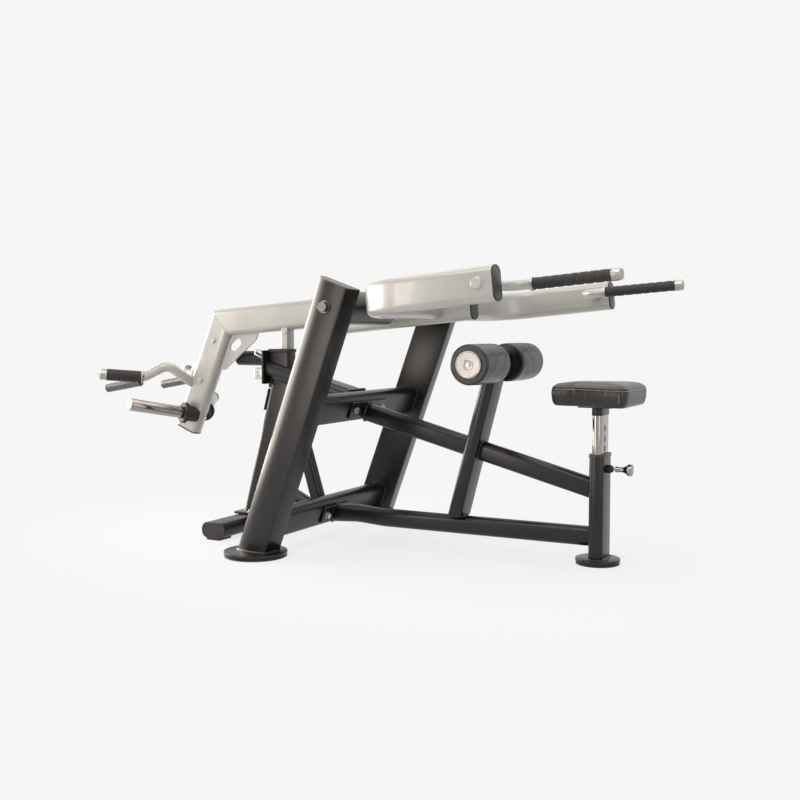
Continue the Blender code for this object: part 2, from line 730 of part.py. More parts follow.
# Lower leg, rising a little towards the cross member
lower_start = lower_centre + FORWARD_LEAN * (PLATE_FACE - WELD)
lower_leg = swept("lower_leg", BLACK_PAINT, box_loops(LOWER_LEG_HEIGHT, LEG_WIDTH, LEG_CORNER, LEG_WALL),
                  [lower_start, point(LOWER_LEG_BEND, LOWER_LEG_Z + 0.008),
                   point(LOWER_LEG_KNEE, LOWER_LEG_Z),
                   point(SEAT_X - SEAT_TUBE / 2 - GAP, LOWER_LEG_Z)], Z_AXIS, (FORWARD_LEAN, None))
weld(lower_leg, [end_plate("plate", lower_centre, 1, LOWER_PLATE_WIDTH)]
     + plate_bolts(lower_centre, LOWER_PLATE_BOLT))

# Seat tube with its nylon bush, the pin boss and the sliding post
seat_base = point(SEAT_X, FLANGE_TOP - WELD)
seat_tube = swept("seat_tube", BLACK_PAINT, box_loops(SEAT_TUBE, SEAT_TUBE, LEG_CORNER, SEAT_WALL),
                  [seat_base, point(SEAT_X, SEAT_TUBE_TOP)], X_AXIS)
bush_bore = POST_WIDTH / 2 + RUNNING
bush_outer = SEAT_TUBE / 2 - SEAT_WALL - GAP
seat_bush = swept("seat_tube_bush", PLASTIC,
                  [rounded(box_corners(SEAT_TUBE + 0.006, SEAT_TUBE + 0.006, LEG_CORNER), 2)],
                  [point(SEAT_X, SEAT_TUBE_TOP + GAP),
                   point(SEAT_X, SEAT_TUBE_TOP + GAP + BUSH_LIP)], X_AXIS)
liner_corner = LEG_CORNER - SEAT_WALL - GAP
liner = swept("liner", PLASTIC, [rounded(box_corners(2 * bush_outer, 2 * bush_outer, liner_corner), 2)],
              [point(SEAT_X, SEAT_TUBE_TOP - BUSH_LENGTH), point(SEAT_X, SEAT_TUBE_TOP + BUSH_LIP / 2)],
              X_AXIS)
combine(seat_bush, [liner], 'UNION')
bush_hole = swept("bush_hole", None, [rounded(box_corners(2 * bush_bore, 2 * bush_bore, 0.003), 2)],
                  [point(SEAT_X, 0.1), point(SEAT_X, 0.6)], X_AXIS)
pin_bore = rod("pin_bore", None, bore(PIN_DIAMETER / 2, SMALL_STEPS), point(SEAT_X, PIN_Z),
               point(SEAT_X + 0.12, PIN_Z), SMALL_STEPS)
cut(seat_bush, bush_hole, pin_bore)
tube_face = SEAT_X + SEAT_TUBE / 2
housing = turned("housing", BLACK_PAINT, disc_profile(0.014, -WELD, PIN_HOUSING, 0.0015),
                 point(tube_face, PIN_Z), X_AXIS, SMALL_STEPS)
weld(seat_tube, [flange(SEAT_X, 0, SEAT_FLANGE), housing]
     + bolt((SEAT_X - SEAT_TUBE / 2, 0, PIN_Z), -X_AXIS, 0.016, washer=False))
cut(seat_tube, pin_bore)

POST_FACE = POST_WIDTH / 2
PIN_TIP = SEAT_X + POST_FACE + PIN_OFFSET
pin_length = tube_face + PIN_HOUSING + PIN_PUSH + GAP - PIN_TIP
pull_pin = turned("pull_pin", CHROME,
                  [(0, pin_length + 0.056), (0.013, pin_length + 0.056), (0.017, pin_length + 0.050),
                   (0.017, pin_length + 0.040), (0.012, pin_length + 0.030), (0.009, pin_length + 0.018),
                   (0.010, pin_length + 0.006), (0.010, pin_length), (PIN_DIAMETER / 2, pin_length),
                   (PIN_DIAMETER / 2, 0.001), (PIN_DIAMETER / 2 - 0.001, 0), (0, 0)],
                  point(PIN_TIP, PIN_Z), X_AXIS, SMALL_STEPS)

seat_post = swept("seat_post", CHROME, box_loops(POST_WIDTH, POST_WIDTH, 0.003, POST_WALL),
                  [point(SEAT_X, POST_BOTTOM), point(SEAT_X, POST_TOP)], X_AXIS)
hole_count = int((POST_TOP - SEAT_BAND - 0.03 - PIN_Z) // HOLE_PITCH) + 1
below_count = int((PIN_Z - POST_BOTTOM - 0.03) // HOLE_PITCH)
slots = []
for k in range(-below_count, hole_count):
    middle = PIN_Z + k * HOLE_PITCH
    slots.append(swept("slot", None,
                       [rounded(box_corners(HOLE_HEIGHT, HOLE_WIDTH, HOLE_WIDTH * 0.45), 3)],
                       [point(SEAT_X + POST_FACE - POST_WALL * 2, middle),
                        point(SEAT_X + POST_FACE + 0.01, middle)], Z_AXIS))
cut(seat_post, *slots)

# Seat mount: a band round the top of the post and the plate under the pad
plate_base = POST_TOP + GAP
seat_mount = swept("seat_mount", BLACK_PAINT,
                   [rounded(box_corners(SEAT_PLATE_LENGTH, SEAT_PLATE_WIDTH, 0.012), 2)],
                   [point(SEAT_X, plate_base), point(SEAT_X, plate_base + SEAT_PLATE)], X_AXIS)
band = swept("band", BLACK_PAINT,
             box_loops(POST_WIDTH + 0.012, POST_WIDTH + 0.012, 0.005, 0.006 - GAP),
             [point(SEAT_X, POST_TOP - SEAT_BAND), point(SEAT_X, plate_base + SEAT_PLATE / 2)], X_AXIS)
combine(seat_mount, [band], 'UNION')

# Seat pad: a cube subdivided and pulled to a nose, a waist and a broad rear
PAD_BASE = plate_base + SEAT_PLATE + GAP


def pad_half_width(u):
    """Half width at u, from the nose (-1) to the rear (1), drawn in at the waist."""
    stations = [(-1.0, PAD_NOSE_WIDTH * 0.46), (-0.8, PAD_NOSE_WIDTH / 2), (-0.48, PAD_WAIST_WIDTH / 2),
                (0.2, PAD_REAR_WIDTH * 0.44), (0.8, PAD_REAR_WIDTH / 2), (1.0, PAD_REAR_WIDTH * 0.48)]
    for (u0, w0), (u1, w1) in zip(stations, stations[1:]):
        if u <= u1:
            return w0 + (w1 - w0) * (u - u0) / (u1 - u0)
    return stations[-1][1]


pad_mesh = bmesh.new()
bmesh.ops.create_cube(pad_mesh, size=2)
bmesh.ops.subdivide_edges(pad_mesh, edges=pad_mesh.edges[:], cuts=4, use_grid_fill=True)
for vertex in pad_mesh.verts:
    u, v, w = vertex.co
    side = max(abs(u), abs(v))
    drawn = 1 - 0.035 * (1 - (1 - abs(w)) ** 2) - (0.05 if w < -0.99 else 0)
    half = pad_half_width(u)
    seam = 0.004 if abs(u + 0.48) < 0.2 and w > 0 else 0.0
    crown_height = PAD_CROWN * (1 - side ** 2) if w > 0.99 else 0.0
    vertex.co.x = (PAD_NOSE + PAD_REAR) / 2 + u * (PAD_REAR - PAD_NOSE) / 2 * drawn
    vertex.co.y = v * (half - seam) * drawn
    vertex.co.z = PAD_BASE + (w + 1) / 2 * (PAD_HEIGHT - seam) + crown_height
pad_data = bpy.data.meshes.new("seat_pad")
pad_mesh.to_mesh(pad_data)
pad_mesh.free()
seat_pad = add_object("seat_pad", pad_data, VINYL)
smooth = seat_pad.modifiers.new("smooth", 'SUBSURF')
smooth.levels = 1
smooth.render_levels = 1

# Rear foot: a low flat-sided bar across, with end caps and rubber feet
foot_z = PAD_THICKNESS + GAP + FOOT_BAR_DEPTH / 2
foot_loops = tube_loops(FOOT_BAR_WIDTH, FOOT_BAR_DEPTH)
swept("rear_foot_bar", BLACK_PAINT, foot_loops,
      [point(FOOT_X, foot_z, -FOOT_BAR_HALF), point(FOOT_X, foot_z, FOOT_BAR_HALF)], X_AXIS)
cap_start = FOOT_BAR_HALF + GAP
rear_foot = swept("rear_foot_right", RUBBER, [foot_loops[0]],
                  [point(FOOT_X, foot_z, cap_start),
                   point(FOOT_X, foot_z, cap_start + FOOT_CAP)], X_AXIS)
sole = block("sole", RUBBER, (FOOT_X - FOOT_PAD_WIDTH / 2, FOOT_BAR_HALF - FOOT_PAD_LENGTH, 0),
             (FOOT_X + FOOT_PAD_WIDTH / 2, cap_start + FOOT_CAP, PAD_THICKNESS))
heel = block("heel", RUBBER, (FOOT_X - FOOT_PAD_WIDTH / 2, cap_start, WELD),
             (FOOT_X + FOOT_PAD_WIDTH / 2, cap_start + FOOT_CAP, foot_z))
weld(rear_foot, [heel, sole])
mirrored("rear_foot_left", RUBBER, rear_foot)

# Rear column on its bolted plate
plate_z = foot_z + FOOT_BAR_DEPTH / 2 + GAP
foot_plate = block("plate", BLACK_PAINT,
                   (FOOT_X - COLUMN_PLATE_SIZE / 2 + 0.012, -COLUMN_PLATE_SIZE / 2, plate_z),
                   (FOOT_X + COLUMN_PLATE_SIZE / 2 + 0.012, COLUMN_PLATE_SIZE / 2, plate_z + COLUMN_PLATE),
                   edge=0.001)
column_run = Vector((math.sin(COLUMN_LEAN), 0, math.cos(COLUMN_LEAN)))
column_side = Vector((column_run.z, 0, -column_run.x))
column_foot = point(COLUMN_FOOT_X, plate_z + COLUMN_PLATE - WELD)
link_run = Vector((math.cos(LINK_FALL), 0, -math.sin(LINK_FALL)))
link_normal = Vector((math.sin(LINK_FALL), 0, math.cos(LINK_FALL)))
link_middle = point(LINK_X, LINK_Z)
link_under = link_middle - link_normal * (TUBE_DEPTH / 2 + GAP)
column_head = meet(column_foot, column_run, link_under, link_run)
column_loops = tube_loops(FOOT_BAR_WIDTH, TUBE_DEPTH)
rear_column = swept("rear_column", BLACK_PAINT, column_loops, [column_foot, column_head], column_side,
                    (Z_AXIS, link_normal))
plate_low = column_foot + column_run * 0.40 - column_side * (FOOT_BAR_WIDTH / 2 - WELD)
rear_plate = swept("plate", BLACK_PAINT, [rounded(box_corners(0.008, 0.044, 0.002), 1)],
                   [plate_low - column_side * 0.004, plate_low - column_side * 0.004 + column_run * 0.085],
                   column_side)
plate_top = plate_z + COLUMN_PLATE
weld(rear_column, [foot_plate, rear_plate] + bolt((FOOT_X + 0.012, -0.052, plate_top), Z_AXIS, 0.018)
     + bolt((FOOT_X + 0.012, 0.052, plate_top), Z_AXIS, 0.018))
column_envelope = swept("column_envelope", None, grown_tube(GAP, FOOT_BAR_WIDTH, TUBE_DEPTH),
                        [column_foot, column_head + column_run * 0.05], column_side, (Z_AXIS, None))

# Head link from the upper cross member back to the head plate
link_front = meet(link_middle, link_run, upper_centre - FORWARD_LEAN * (PLATE_FACE - WELD), UP_LEAN)
link_rear = meet(link_middle, link_run, point(HEAD_X + HEAD_PLATE + GAP, 0), Z_AXIS)
head_link = swept("head_link", BLACK_PAINT, tube_loops(), [link_rear, link_front], Y_AXIS,
                  (X_AXIS, FORWARD_LEAN))
weld(head_link, [end_plate("plate", upper_centre, -1, TUBE_WIDTH + LINK_PLATE_MARGIN, LINK_PLATE_SHIFT)])
stop_head = block("stop_head", BLACK_PAINT, (HEAD_X, -0.062, HEAD_BOTTOM),
                  (HEAD_X + HEAD_PLATE, 0.080, HEAD_TOP), edge=0.001)
link_top_envelope = swept("link_top_envelope", None, grown_tube(GAP), [link_rear, link_front], Y_AXIS,
                          (X_AXIS, FORWARD_LEAN))
stop_post = block("post", BLACK_PAINT, (HEAD_X + HEAD_PLATE - WELD, -0.028, STOP_POST_FOOT),
                  (STOP_END, 0.028, STOP_TOP - STOP_PAD - GAP), edge=0.001)
under_link = block("under_link", None, (-0.30, -0.10, -0.20), (0.30, 0.10, 0), LINK_FALL, (0, 0, 0))
under_link.location = link_middle
cut(stop_post, link_top_envelope, under_link)
stop_bar = rod("bar", BLACK_PAINT, STOP_BAR_DIAMETER / 2, point(HEAD_X + WELD, STOP_BAR_Z, STOP_BAR_Y),
               point(STOP_BAR_END, STOP_BAR_Z, STOP_BAR_Y), edge=0.003)
lugs = [block("lug", ZINC, (HEAD_X - 0.046, -0.046, 0.592), (HEAD_X + WELD, -0.014, 0.636), edge=0.002),
        block("lug", ZINC, (HEAD_X - 0.020, -0.046, 0.674), (HEAD_X + WELD, -0.014, 0.702), edge=0.002)]
weld(stop_head, [stop_post, stop_bar] + lugs)
block("stop_pad", RUBBER, (HEAD_X + HEAD_PLATE + GAP, -0.030, STOP_TOP - STOP_PAD),
      (STOP_END + 0.002, 0.030, STOP_TOP), edge=0.002)

# Braces between the lower cross member and the column
steep_foot = point(*STEEP_FOOT)
steep_head = point(*STEEP_HEAD)
steep_run = (steep_head - steep_foot).normalized()
steep_side = Vector((steep_run.z, 0, -steep_run.x))
steep_brace = swept("steep_brace", BLACK_PAINT, box_loops(BRACE_WIDTH, BRACE_DEPTH, LEG_CORNER, LEG_WALL),
                    [steep_foot - steep_run * 0.032, steep_head + steep_run * 0.03], steep_side)
above_link = block("above_link", None, (-0.30, -0.10, 0), (0.30, 0.10, 0.30), LINK_FALL, (0, 0, 0))
above_link.location = link_under
cut(steep_brace, lower_envelope, column_envelope, above_link)
steep_envelope = swept("steep_envelope", None,
                       [rounded(box_corners(BRACE_WIDTH + 2 * GAP, BRACE_DEPTH + 2 * GAP, LEG_CORNER), 2)],
                       [steep_foot - steep_run * 0.032, steep_head + steep_run * 0.03], steep_side)
low_start = point(*LOW_FOOT)
low_end = point(*LOW_HEAD)
low_run = (low_end - low_start).normalized()
low_brace = swept("low_brace", BLACK_PAINT, box_loops(LOW_BRACE_WIDTH, BRACE_DEPTH, LEG_CORNER, LEG_WALL),
                  [low_start - low_run * 0.026, low_end], Vector((low_run.z, 0, -low_run.x)))
behind_member = block("behind_member", None, (0, -0.10, -0.2), (0.3, 0.10, 0.2), LEAN, (0, 0, 0))
behind_member.location = lower_centre - FORWARD_LEAN * (TUBE_DEPTH / 2 + GAP)
behind_column = block("behind_column", None, (-0.3, -0.10, -0.2), (0, 0.10, 0.2), COLUMN_LEAN, (0, 0, 0))
behind_column.location = column_foot + column_run * 0.14
cut(low_brace, lower_envelope, behind_member, column_envelope, behind_column, steep_envelope)

# Pivot: covers fixed between the uprights and the hub, with the shaft through them
hub_half = HUB_WIDTH / 2
cover_start = hub_half + HUB_CLEARANCE
cover_length = UPRIGHT_INNER - GAP - cover_start
cover_radius = COVER_DIAMETER / 2
pivot_cover = turned("pivot_cover_left", BLACK_PAINT,
                     [(bore(shaft_radius), cover_length), (cover_radius, cover_length), (cover_radius, 0),
                      (bore(shaft_radius), 0), (bore(shaft_radius), COVER_DISC),
                      (cover_radius - COVER_WALL, COVER_DISC),
                      (cover_radius - COVER_WALL, cover_length - COVER_DISC),
                      (bore(shaft_radius), cover_length - COVER_DISC)],
                     PIVOT - Y_AXIS * cover_start, -Y_AXIS)
mirrored("pivot_cover_right", BLACK_PAINT, pivot_cover)
shaft_end = UPRIGHT_INNER + UPRIGHT_REACH + GAP
pivot_shaft = rod("pivot_shaft", ZINC, shaft_radius, PIVOT - Y_AXIS * (shaft_end + WELD),
                  PIVOT + Y_AXIS * (shaft_end + WELD), 16)
for side in (-1, 1):
    end = PIVOT + Y_AXIS * side * shaft_end
    washer = turned("washer", ZINC, disc_profile(0.0225, 0, 0.003), end, Y_AXIS * side, 16)
    head = turned("head", ZINC, disc_profile(0.0175, 0, 0.014, 0.0015), end, Y_AXIS * side, 6)
    weld(pivot_shaft, [washer, head])

# Hub and bearings
HUB_STEPS = 24
hub_bore = cover_radius - HUB_WALL
bearing_outer = hub_bore * math.cos(math.pi / HUB_STEPS) - GAP
turned("hub_tube", SILVER_PAINT, ring_profile(hub_bore, cover_radius, 0, HUB_WIDTH, 0.0015),
       PIVOT - Y_AXIS * hub_half, Y_AXIS, HUB_STEPS)
bearing = turned("pivot_bearing_left", ZINC,
                 ring_profile(bore(shaft_radius, 16), bearing_outer, 0, BEARING_WIDTH),
                 PIVOT - Y_AXIS * hub_half, Y_AXIS, 16)
mirrored("pivot_bearing_right", ZINC, bearing)
hub_envelope = rod("hub_envelope", None, bore(cover_radius, HUB_STEPS), PIVOT - Y_AXIS * (hub_half + 0.02),
                   PIVOT + Y_AXIS * (hub_half + 0.02), HUB_STEPS)

# Rear beam and drop leg, mitred together
beam_run = Vector((1, 0, REAR_BEAM_SLOPE)).normalized()
beam_up = Vector((-beam_run.z, 0, beam_run.x))
beam_front = point(PIVOT_X - 0.030, PIVOT_Z + REAR_BEAM_RISE - 0.030 * REAR_BEAM_SLOPE)
mitre = point(MITRE_X, PIVOT_Z + REAR_BEAM_RISE + (MITRE_X - PIVOT_X) * REAR_BEAM_SLOPE)
leg_run = Vector((LEG_LEAN, 0, 1)).normalized()
leg_front = Vector((leg_run.z, 0, -leg_run.x))
leg_end = mitre - leg_run * ((mitre.z - DROP_LEG_END) / leg_run.z)
mitre_plane = (beam_run + leg_run).normalized()
rear_beam = swept("rear_beam", SILVER_PAINT, tube_loops(), [mitre + mitre_plane * GAP, beam_front], beam_up,
                  (mitre_plane, X_AXIS))
drop_leg = swept("drop_leg", SILVER_PAINT, tube_loops(), [leg_end, mitre - mitre_plane * GAP], leg_front,
                 (None, mitre_plane))
cut(rear_beam, hub_envelope)
beam_envelope = swept("beam_envelope", None, grown_tube(GAP), [mitre, beam_front + beam_run * GAP], beam_up,
                      (mitre_plane, X_AXIS))
leg_envelope = swept("leg_envelope", None, grown_tube(GAP), [leg_end, mitre], leg_front,
                     (None, mitre_plane))

# Front beam, under the rear one at the hub, with its end cap ahead of the yoke
front_run = Vector((1, 0, FRONT_BEAM_SLOPE)).normalized()
front_up = Vector((-front_run.z, 0, front_run.x))


def front_beam_at(x):
    """Point of the front beam's centre line."""
    return point(x, PIVOT_Z - FRONT_BEAM_SINK + (x - PIVOT_X) * FRONT_BEAM_SLOPE)


front_beam = swept("front_beam", SILVER_PAINT, tube_loops(),
                   [front_beam_at(FRONT_BEAM_START), front_beam_at(FRONT_BEAM_END)], front_up)
cut(front_beam, hub_envelope, beam_envelope)

# Yoke: each half leaves the beam's side, bends forward and carries a handle
tilt_run = Vector((math.cos(YOKE_TILT), 0, math.sin(YOKE_TILT)))
tilt_up = Vector((-tilt_run.z, 0, tilt_run.x))
yoke_root = point(YOKE_X, YOKE_Z, -TUBE_DEPTH / 2 - GAP)
yoke_corner = point(YOKE_X, YOKE_Z, -YOKE_HALF)
yoke_end = yoke_corner + tilt_run * ((YOKE_END - YOKE_X) / tilt_run.x)
yoke_left = swept("yoke_left", SILVER_PAINT, tube_loops(),
                  filleted([yoke_root, yoke_corner, yoke_end], [YOKE_BEND], 6), tilt_up)
handle_corner = point(HANDLE_X, HANDLE_Z, -HANDLE_CORNER_Y)
handle_stub = point(HANDLE_X, HANDLE_Z, -YOKE_HALF - TUBE_DEPTH / 2 - HANDLE_STUB)
grip_run = Vector((0.338, -0.0275, 0.0270)).normalized()
grip_start = handle_corner + grip_run * FRONT_GRIP_START
grip_end = grip_start + grip_run * FRONT_GRIP_LENGTH
handle_radius = HANDLE_DIAMETER / 2
handle_hole = rod("handle_hole", None, bore(handle_radius, 16), handle_stub - Y_AXIS * 0.02,
                  point(HANDLE_X, HANDLE_Z, -YOKE_HALF + 0.08), 16)
cut(yoke_left, handle_hole)
mirrored("yoke_right", SILVER_PAINT, yoke_left)
arm_cap_start = yoke_end + tilt_run * GAP
beam_cap_start = front_beam_at(FRONT_BEAM_END) + front_run * GAP
leg_cap_start = leg_end - leg_run * GAP
arm_cap = swept("arm_cap_left", PLASTIC, [tube_loops()[0]],
                [arm_cap_start, arm_cap_start + tilt_run * CAP_THICKNESS], tilt_up)
mirrored("arm_cap_right", PLASTIC, arm_cap)
swept("beam_cap", PLASTIC, [tube_loops()[0]],
      [beam_cap_start, beam_cap_start + front_run * CAP_THICKNESS], front_up)
swept("drop_leg_cap", PLASTIC, [tube_loops()[0]],
      [leg_cap_start, leg_cap_start - leg_run * CAP_THICKNESS], leg_front)

# Front handles, ribbed grips, collars and aluminium ends
handle_loops = [circle(handle_radius, SMALL_STEPS), circle(handle_radius - HANDLE_WALL, SMALL_STEPS)]
handle_left = swept("front_handle_left", SILVER_PAINT, handle_loops,
                    filleted([handle_stub, handle_corner, grip_end + grip_run * 2 * WELD],
                             [HANDLE_BEND], 5), Z_AXIS)
RIBS = 8
RIB_DEPTH = 0.0009
grip_radius = FRONT_GRIP_DIAMETER / 2
grip_bore = bore(handle_radius, SMALL_STEPS)
rib_pitch = FRONT_GRIP_LENGTH / RIBS
grip_profile = [(grip_bore, FRONT_GRIP_LENGTH)]
for k in range(RIBS):
    top = FRONT_GRIP_LENGTH - k * rib_pitch
    grip_profile += [(grip_radius - RIB_DEPTH, top - rib_pitch * 0.02),
                     (grip_radius, top - rib_pitch * 0.35), (grip_radius, top - rib_pitch * 0.65),
                     (grip_radius - RIB_DEPTH, top - rib_pitch * 0.98)]
grip_profile[1] = (grip_radius - RIB_DEPTH, FRONT_GRIP_LENGTH)
grip_profile[-1] = (grip_radius - RIB_DEPTH, 0)
grip_profile.append((grip_bore, 0))
front_grip = turned("front_grip_left", RUBBER, grip_profile, grip_start, grip_run, SMALL_STEPS)
mirrored("front_grip_right", RUBBER, front_grip)
collar = turned("collar", ALUMINIUM,
                ring_profile(handle_radius - WELD, grip_radius + 0.0025, 0, COLLAR_LENGTH, 0.001),
                grip_start - grip_run * (COLLAR_LENGTH + GAP), grip_run, SMALL_STEPS)
grip_cap = turned("end", ALUMINIUM,
                  [(0, FRONT_CAP_LENGTH), (0.012, FRONT_CAP_LENGTH),
                   (grip_radius - 0.001, FRONT_CAP_LENGTH - 0.004),
                   (grip_radius + 0.001, FRONT_CAP_LENGTH * 0.4), (grip_radius + 0.0015, 0.002),
                   (grip_radius + 0.0005, 0), (0, 0)],
                  grip_end + grip_run * GAP, grip_run, SMALL_STEPS)
weld(handle_left, [collar, grip_cap])
mirrored("front_handle_right", SILVER_PAINT, handle_left)

# Rear handles: bent out and back from the drop leg, with the pegs under them
rear_radius = REAR_HANDLE_DIAMETER / 2
rear_apex = point(*REAR_APEX)
rear_collar = point(*REAR_COLLAR)
rear_run = Vector((-0.105, -0.095, 0.0115)).normalized()
rear_root = point(*REAR_ROOT)
rear_end = rear_collar + rear_run * (REAR_GRIP_START + REAR_GRIP_LENGTH)
rear_path = filleted([rear_root, rear_apex, rear_collar, rear_end + rear_run * 2 * WELD], [0.045, 0.030], 4)
rear_handle = swept("rear_handle_left", SILVER_PAINT,
                    [circle(rear_radius, SMALL_STEPS), circle(rear_radius - HANDLE_WALL, SMALL_STEPS)],
                    rear_path, Z_AXIS)
cut(rear_handle, leg_envelope)
rear_grip_start = rear_collar + rear_run * REAR_GRIP_START
rear_grip_radius = REAR_GRIP_DIAMETER / 2
grip_envelope = rod("grip_envelope", None, bore(rear_grip_radius), rear_grip_start - rear_run * GAP,
                    rear_end + rear_run * 0.01)
rear_bore = bore(rear_radius, 16)
rear_grip = turned("rear_grip_left", RUBBER,
                   ring_profile(rear_bore, rear_grip_radius, 0, REAR_GRIP_LENGTH, 0.0015),
                   rear_grip_start, rear_run, 16)
mirrored("rear_grip_right", RUBBER, rear_grip)
rear_flare = turned("flare", ALUMINIUM,
                    [(rear_radius - WELD, 0.012), (rear_grip_radius + 0.003, 0.012),
                     (rear_grip_radius + 0.002, 0.006), (rear_grip_radius - 0.001, 0),
                     (rear_radius - WELD, 0)],
                    rear_grip_start - rear_run * (0.012 + GAP), rear_run, 16)
rear_cap = turned("end", ALUMINIUM,
                  [(0, REAR_CAP_LENGTH), (0.014, REAR_CAP_LENGTH), (0.020, REAR_CAP_LENGTH - 0.003),
                   (0.0225, REAR_CAP_LENGTH * 0.5), (0.0230, 0.002), (0.0220, 0), (0, 0)],
                  rear_end + rear_run * GAP, rear_run, 16)
peg = rod("peg", DARK_STEEL, PEG_DIAMETER / 2, point(*PEG_FRONT), point(*PEG_REAR), 14, 0.002)
cut(peg, grip_envelope)
weld(rear_handle, [rear_flare, rear_cap, peg])
mirrored("rear_handle_right", SILVER_PAINT, rear_handle)

# Plate horns with a rubber ring at the root and a cap at the end
horn_run = Vector((-math.sin(HORN_SWEEP) * math.cos(HORN_RISE), -math.cos(HORN_SWEEP) * math.cos(HORN_RISE),
                   math.sin(HORN_RISE)))
horn_root = leg_end + leg_run * ((HORN_Z - leg_end.z) / leg_run.z) + leg_front * 0.018
horn_root.y = -TUBE_DEPTH / 2 - GAP
horn_end = horn_root + horn_run * HORN_LENGTH
horn_radius = HORN_DIAMETER / 2
horn = swept("plate_horn_left", CHROME, [circle(horn_radius), circle(horn_radius - HORN_WALL)],
             [horn_root, horn_end + horn_run * WELD], Z_AXIS, (Y_AXIS, None))
horn_cap = turned("cap", ALUMINIUM,
                  [(0, 0.011), (0.006, 0.011), (0.007, 0.008), (horn_radius - 0.003, 0.008),
                   (horn_radius + 0.001, 0.005), (horn_radius + 0.001, 0), (0, 0)], horn_end, horn_run, 16)
weld(horn, [horn_cap])
mirrored("plate_horn_right", CHROME, horn)
ring_start = math.tan(HORN_SWEEP) * RING_DIAMETER / 2 + 0.006
horn_ring = turned("horn_ring_left", RUBBER,
                   ring_profile(bore(horn_radius), RING_DIAMETER / 2, 0, RING_LENGTH, 0.003),
                   horn_root + horn_run * ring_start, horn_run)
mirrored("horn_ring_right", RUBBER, horn_ring)

# Gusset plate in the corner of beam and drop leg, with its oval hole
beam_under = mitre - beam_up * (TUBE_WIDTH / 2 + GAP)
leg_inner = mitre + leg_front * (TUBE_WIDTH / 2 + GAP)
corner = meet(beam_under, beam_run, leg_inner, leg_run)
gusset_beam = beam_under + beam_run * ((GUSSET_BEAM_X - beam_under.x) / beam_run.x)
gusset_leg = leg_inner - leg_run * ((leg_inner.z - GUSSET_LEG_Z) / leg_run.z)
gusset_outline = [(corner.x, corner.z), (gusset_leg.x, gusset_leg.z),
                  (gusset_leg.x + 0.028, gusset_leg.z + 0.004),
                  (gusset_beam.x - 0.012, gusset_beam.z - 0.026), (gusset_beam.x, gusset_beam.z)]
gusset_curve = bpy.data.curves.new("gusset_plate", 'CURVE')
gusset_curve.dimensions = '2D'
gusset_curve.fill_mode = 'BOTH'
gusset_curve.extrude = GUSSET_THICKNESS / 2
hole_middle = Vector((corner.x * 0.5 + gusset_beam.x * 0.25 + gusset_leg.x * 0.25 + 0.003,
                      corner.z * 0.44 + gusset_beam.z * 0.28 + gusset_leg.z * 0.28))
hole_along = Vector((gusset_beam.x - gusset_leg.x, gusset_beam.z - gusset_leg.z)).normalized()
hole_across = Vector((-hole_along.y, hole_along.x))
oval_hole = [hole_middle + hole_along * u + hole_across * v for u, v in oval(0.062, 0.034, 0.017, 6)]
for outline in (gusset_outline, oval_hole):
    spline = gusset_curve.splines.new('POLY')
    spline.points.add(len(outline) - 1)
    for target, place in zip(spline.points, outline):
        target.co = (place[0], place[1], 0, 1)
    spline.use_cyclic_u = True
gusset_drawing = bpy.data.objects.new("gusset_drawing", gusset_curve)
parts.objects.link(gusset_drawing)
gusset_drawing.rotation_euler = (math.pi / 2, 0, 0)
gusset_data = evaluated(gusset_drawing)
gusset_bmesh = bmesh.new()
gusset_bmesh.from_mesh(gusset_data)
bmesh.ops.remove_doubles(gusset_bmesh, verts=gusset_bmesh.verts[:], dist=0.00001)
bmesh.ops.recalc_face_normals(gusset_bmesh, faces=gusset_bmesh.faces[:])
gusset_bmesh.to_mesh(gusset_data)
gusset_bmesh.free()
bpy.data.objects.remove(gusset_drawing)
gusset = add_object("gusset_plate", gusset_data, SILVER_PAINT)
cut(gusset, beam_envelope, leg_envelope)

# Stop foot under the rear beam, resting just above the stop pad
stop_foot = block("stop_foot", SILVER_PAINT,
                  (STOP_FOOT_X - STOP_FOOT_LENGTH / 2, -STOP_FOOT_WIDTH / 2, STOP_TOP + GAP),
                  (STOP_FOOT_X + STOP_FOOT_LENGTH / 2, STOP_FOOT_WIDTH / 2, PIVOT_Z - 0.060), edge=0.002)
beam_slot = swept("beam_slot", None, grown_tube(GAP),
                  [mitre + beam_run * 0.1, beam_front - beam_run * 0.1], beam_up)
cut(stop_foot, beam_slot)


def leg_at(height):
    """Point of the drop leg's centre line at a height."""
    return leg_end + leg_run * ((height - leg_end.z) / leg_run.z)


# Dark strip down the rear edge of the drop leg, and the leg's bolts
strip_shift = leg_front * (TUBE_WIDTH / 2 - WELD + 0.0025)
strip = swept("strip", DARK_STEEL, [rounded(box_corners(0.005, 0.010, 0.001), 1)],
              [leg_at(STRIP_LOW) - strip_shift, leg_at(STRIP_HIGH) - strip_shift], leg_front)
strip_gap = rod("strip_gap", None, rear_radius + 0.004, rear_root, rear_apex)
strip_gap_copy = mirrored("strip_gap_copy", None, strip_gap)
cut(strip, strip_gap, strip_gap_copy)
leg_bolts = []
for height in SIDE_BOLT_HEIGHTS:
    leg_bolts += bolt(leg_at(height) - Y_AXIS * (TUBE_DEPTH / 2), -Y_AXIS, 0.018)
    leg_bolts += bolt(leg_at(height) + Y_AXIS * (TUBE_DEPTH / 2), Y_AXIS, 0.018)
for height in FRONT_BOLT_HEIGHTS:
    leg_bolts += bolt(leg_at(height) + leg_front * (TUBE_WIDTH / 2), leg_front, 0.014, washer=False)
weld(drop_leg, [strip] + leg_bolts)
weld(stop_foot, bolt((STOP_FOOT_X, -STOP_FOOT_WIDTH / 2, STOP_BOLT_Z), -Y_AXIS, 0.012, washer=False))


machine = bpy.data.objects.new("machine", None)
parts.objects.link(machine)
machine.location = (-SEAT_X, 0, 0)


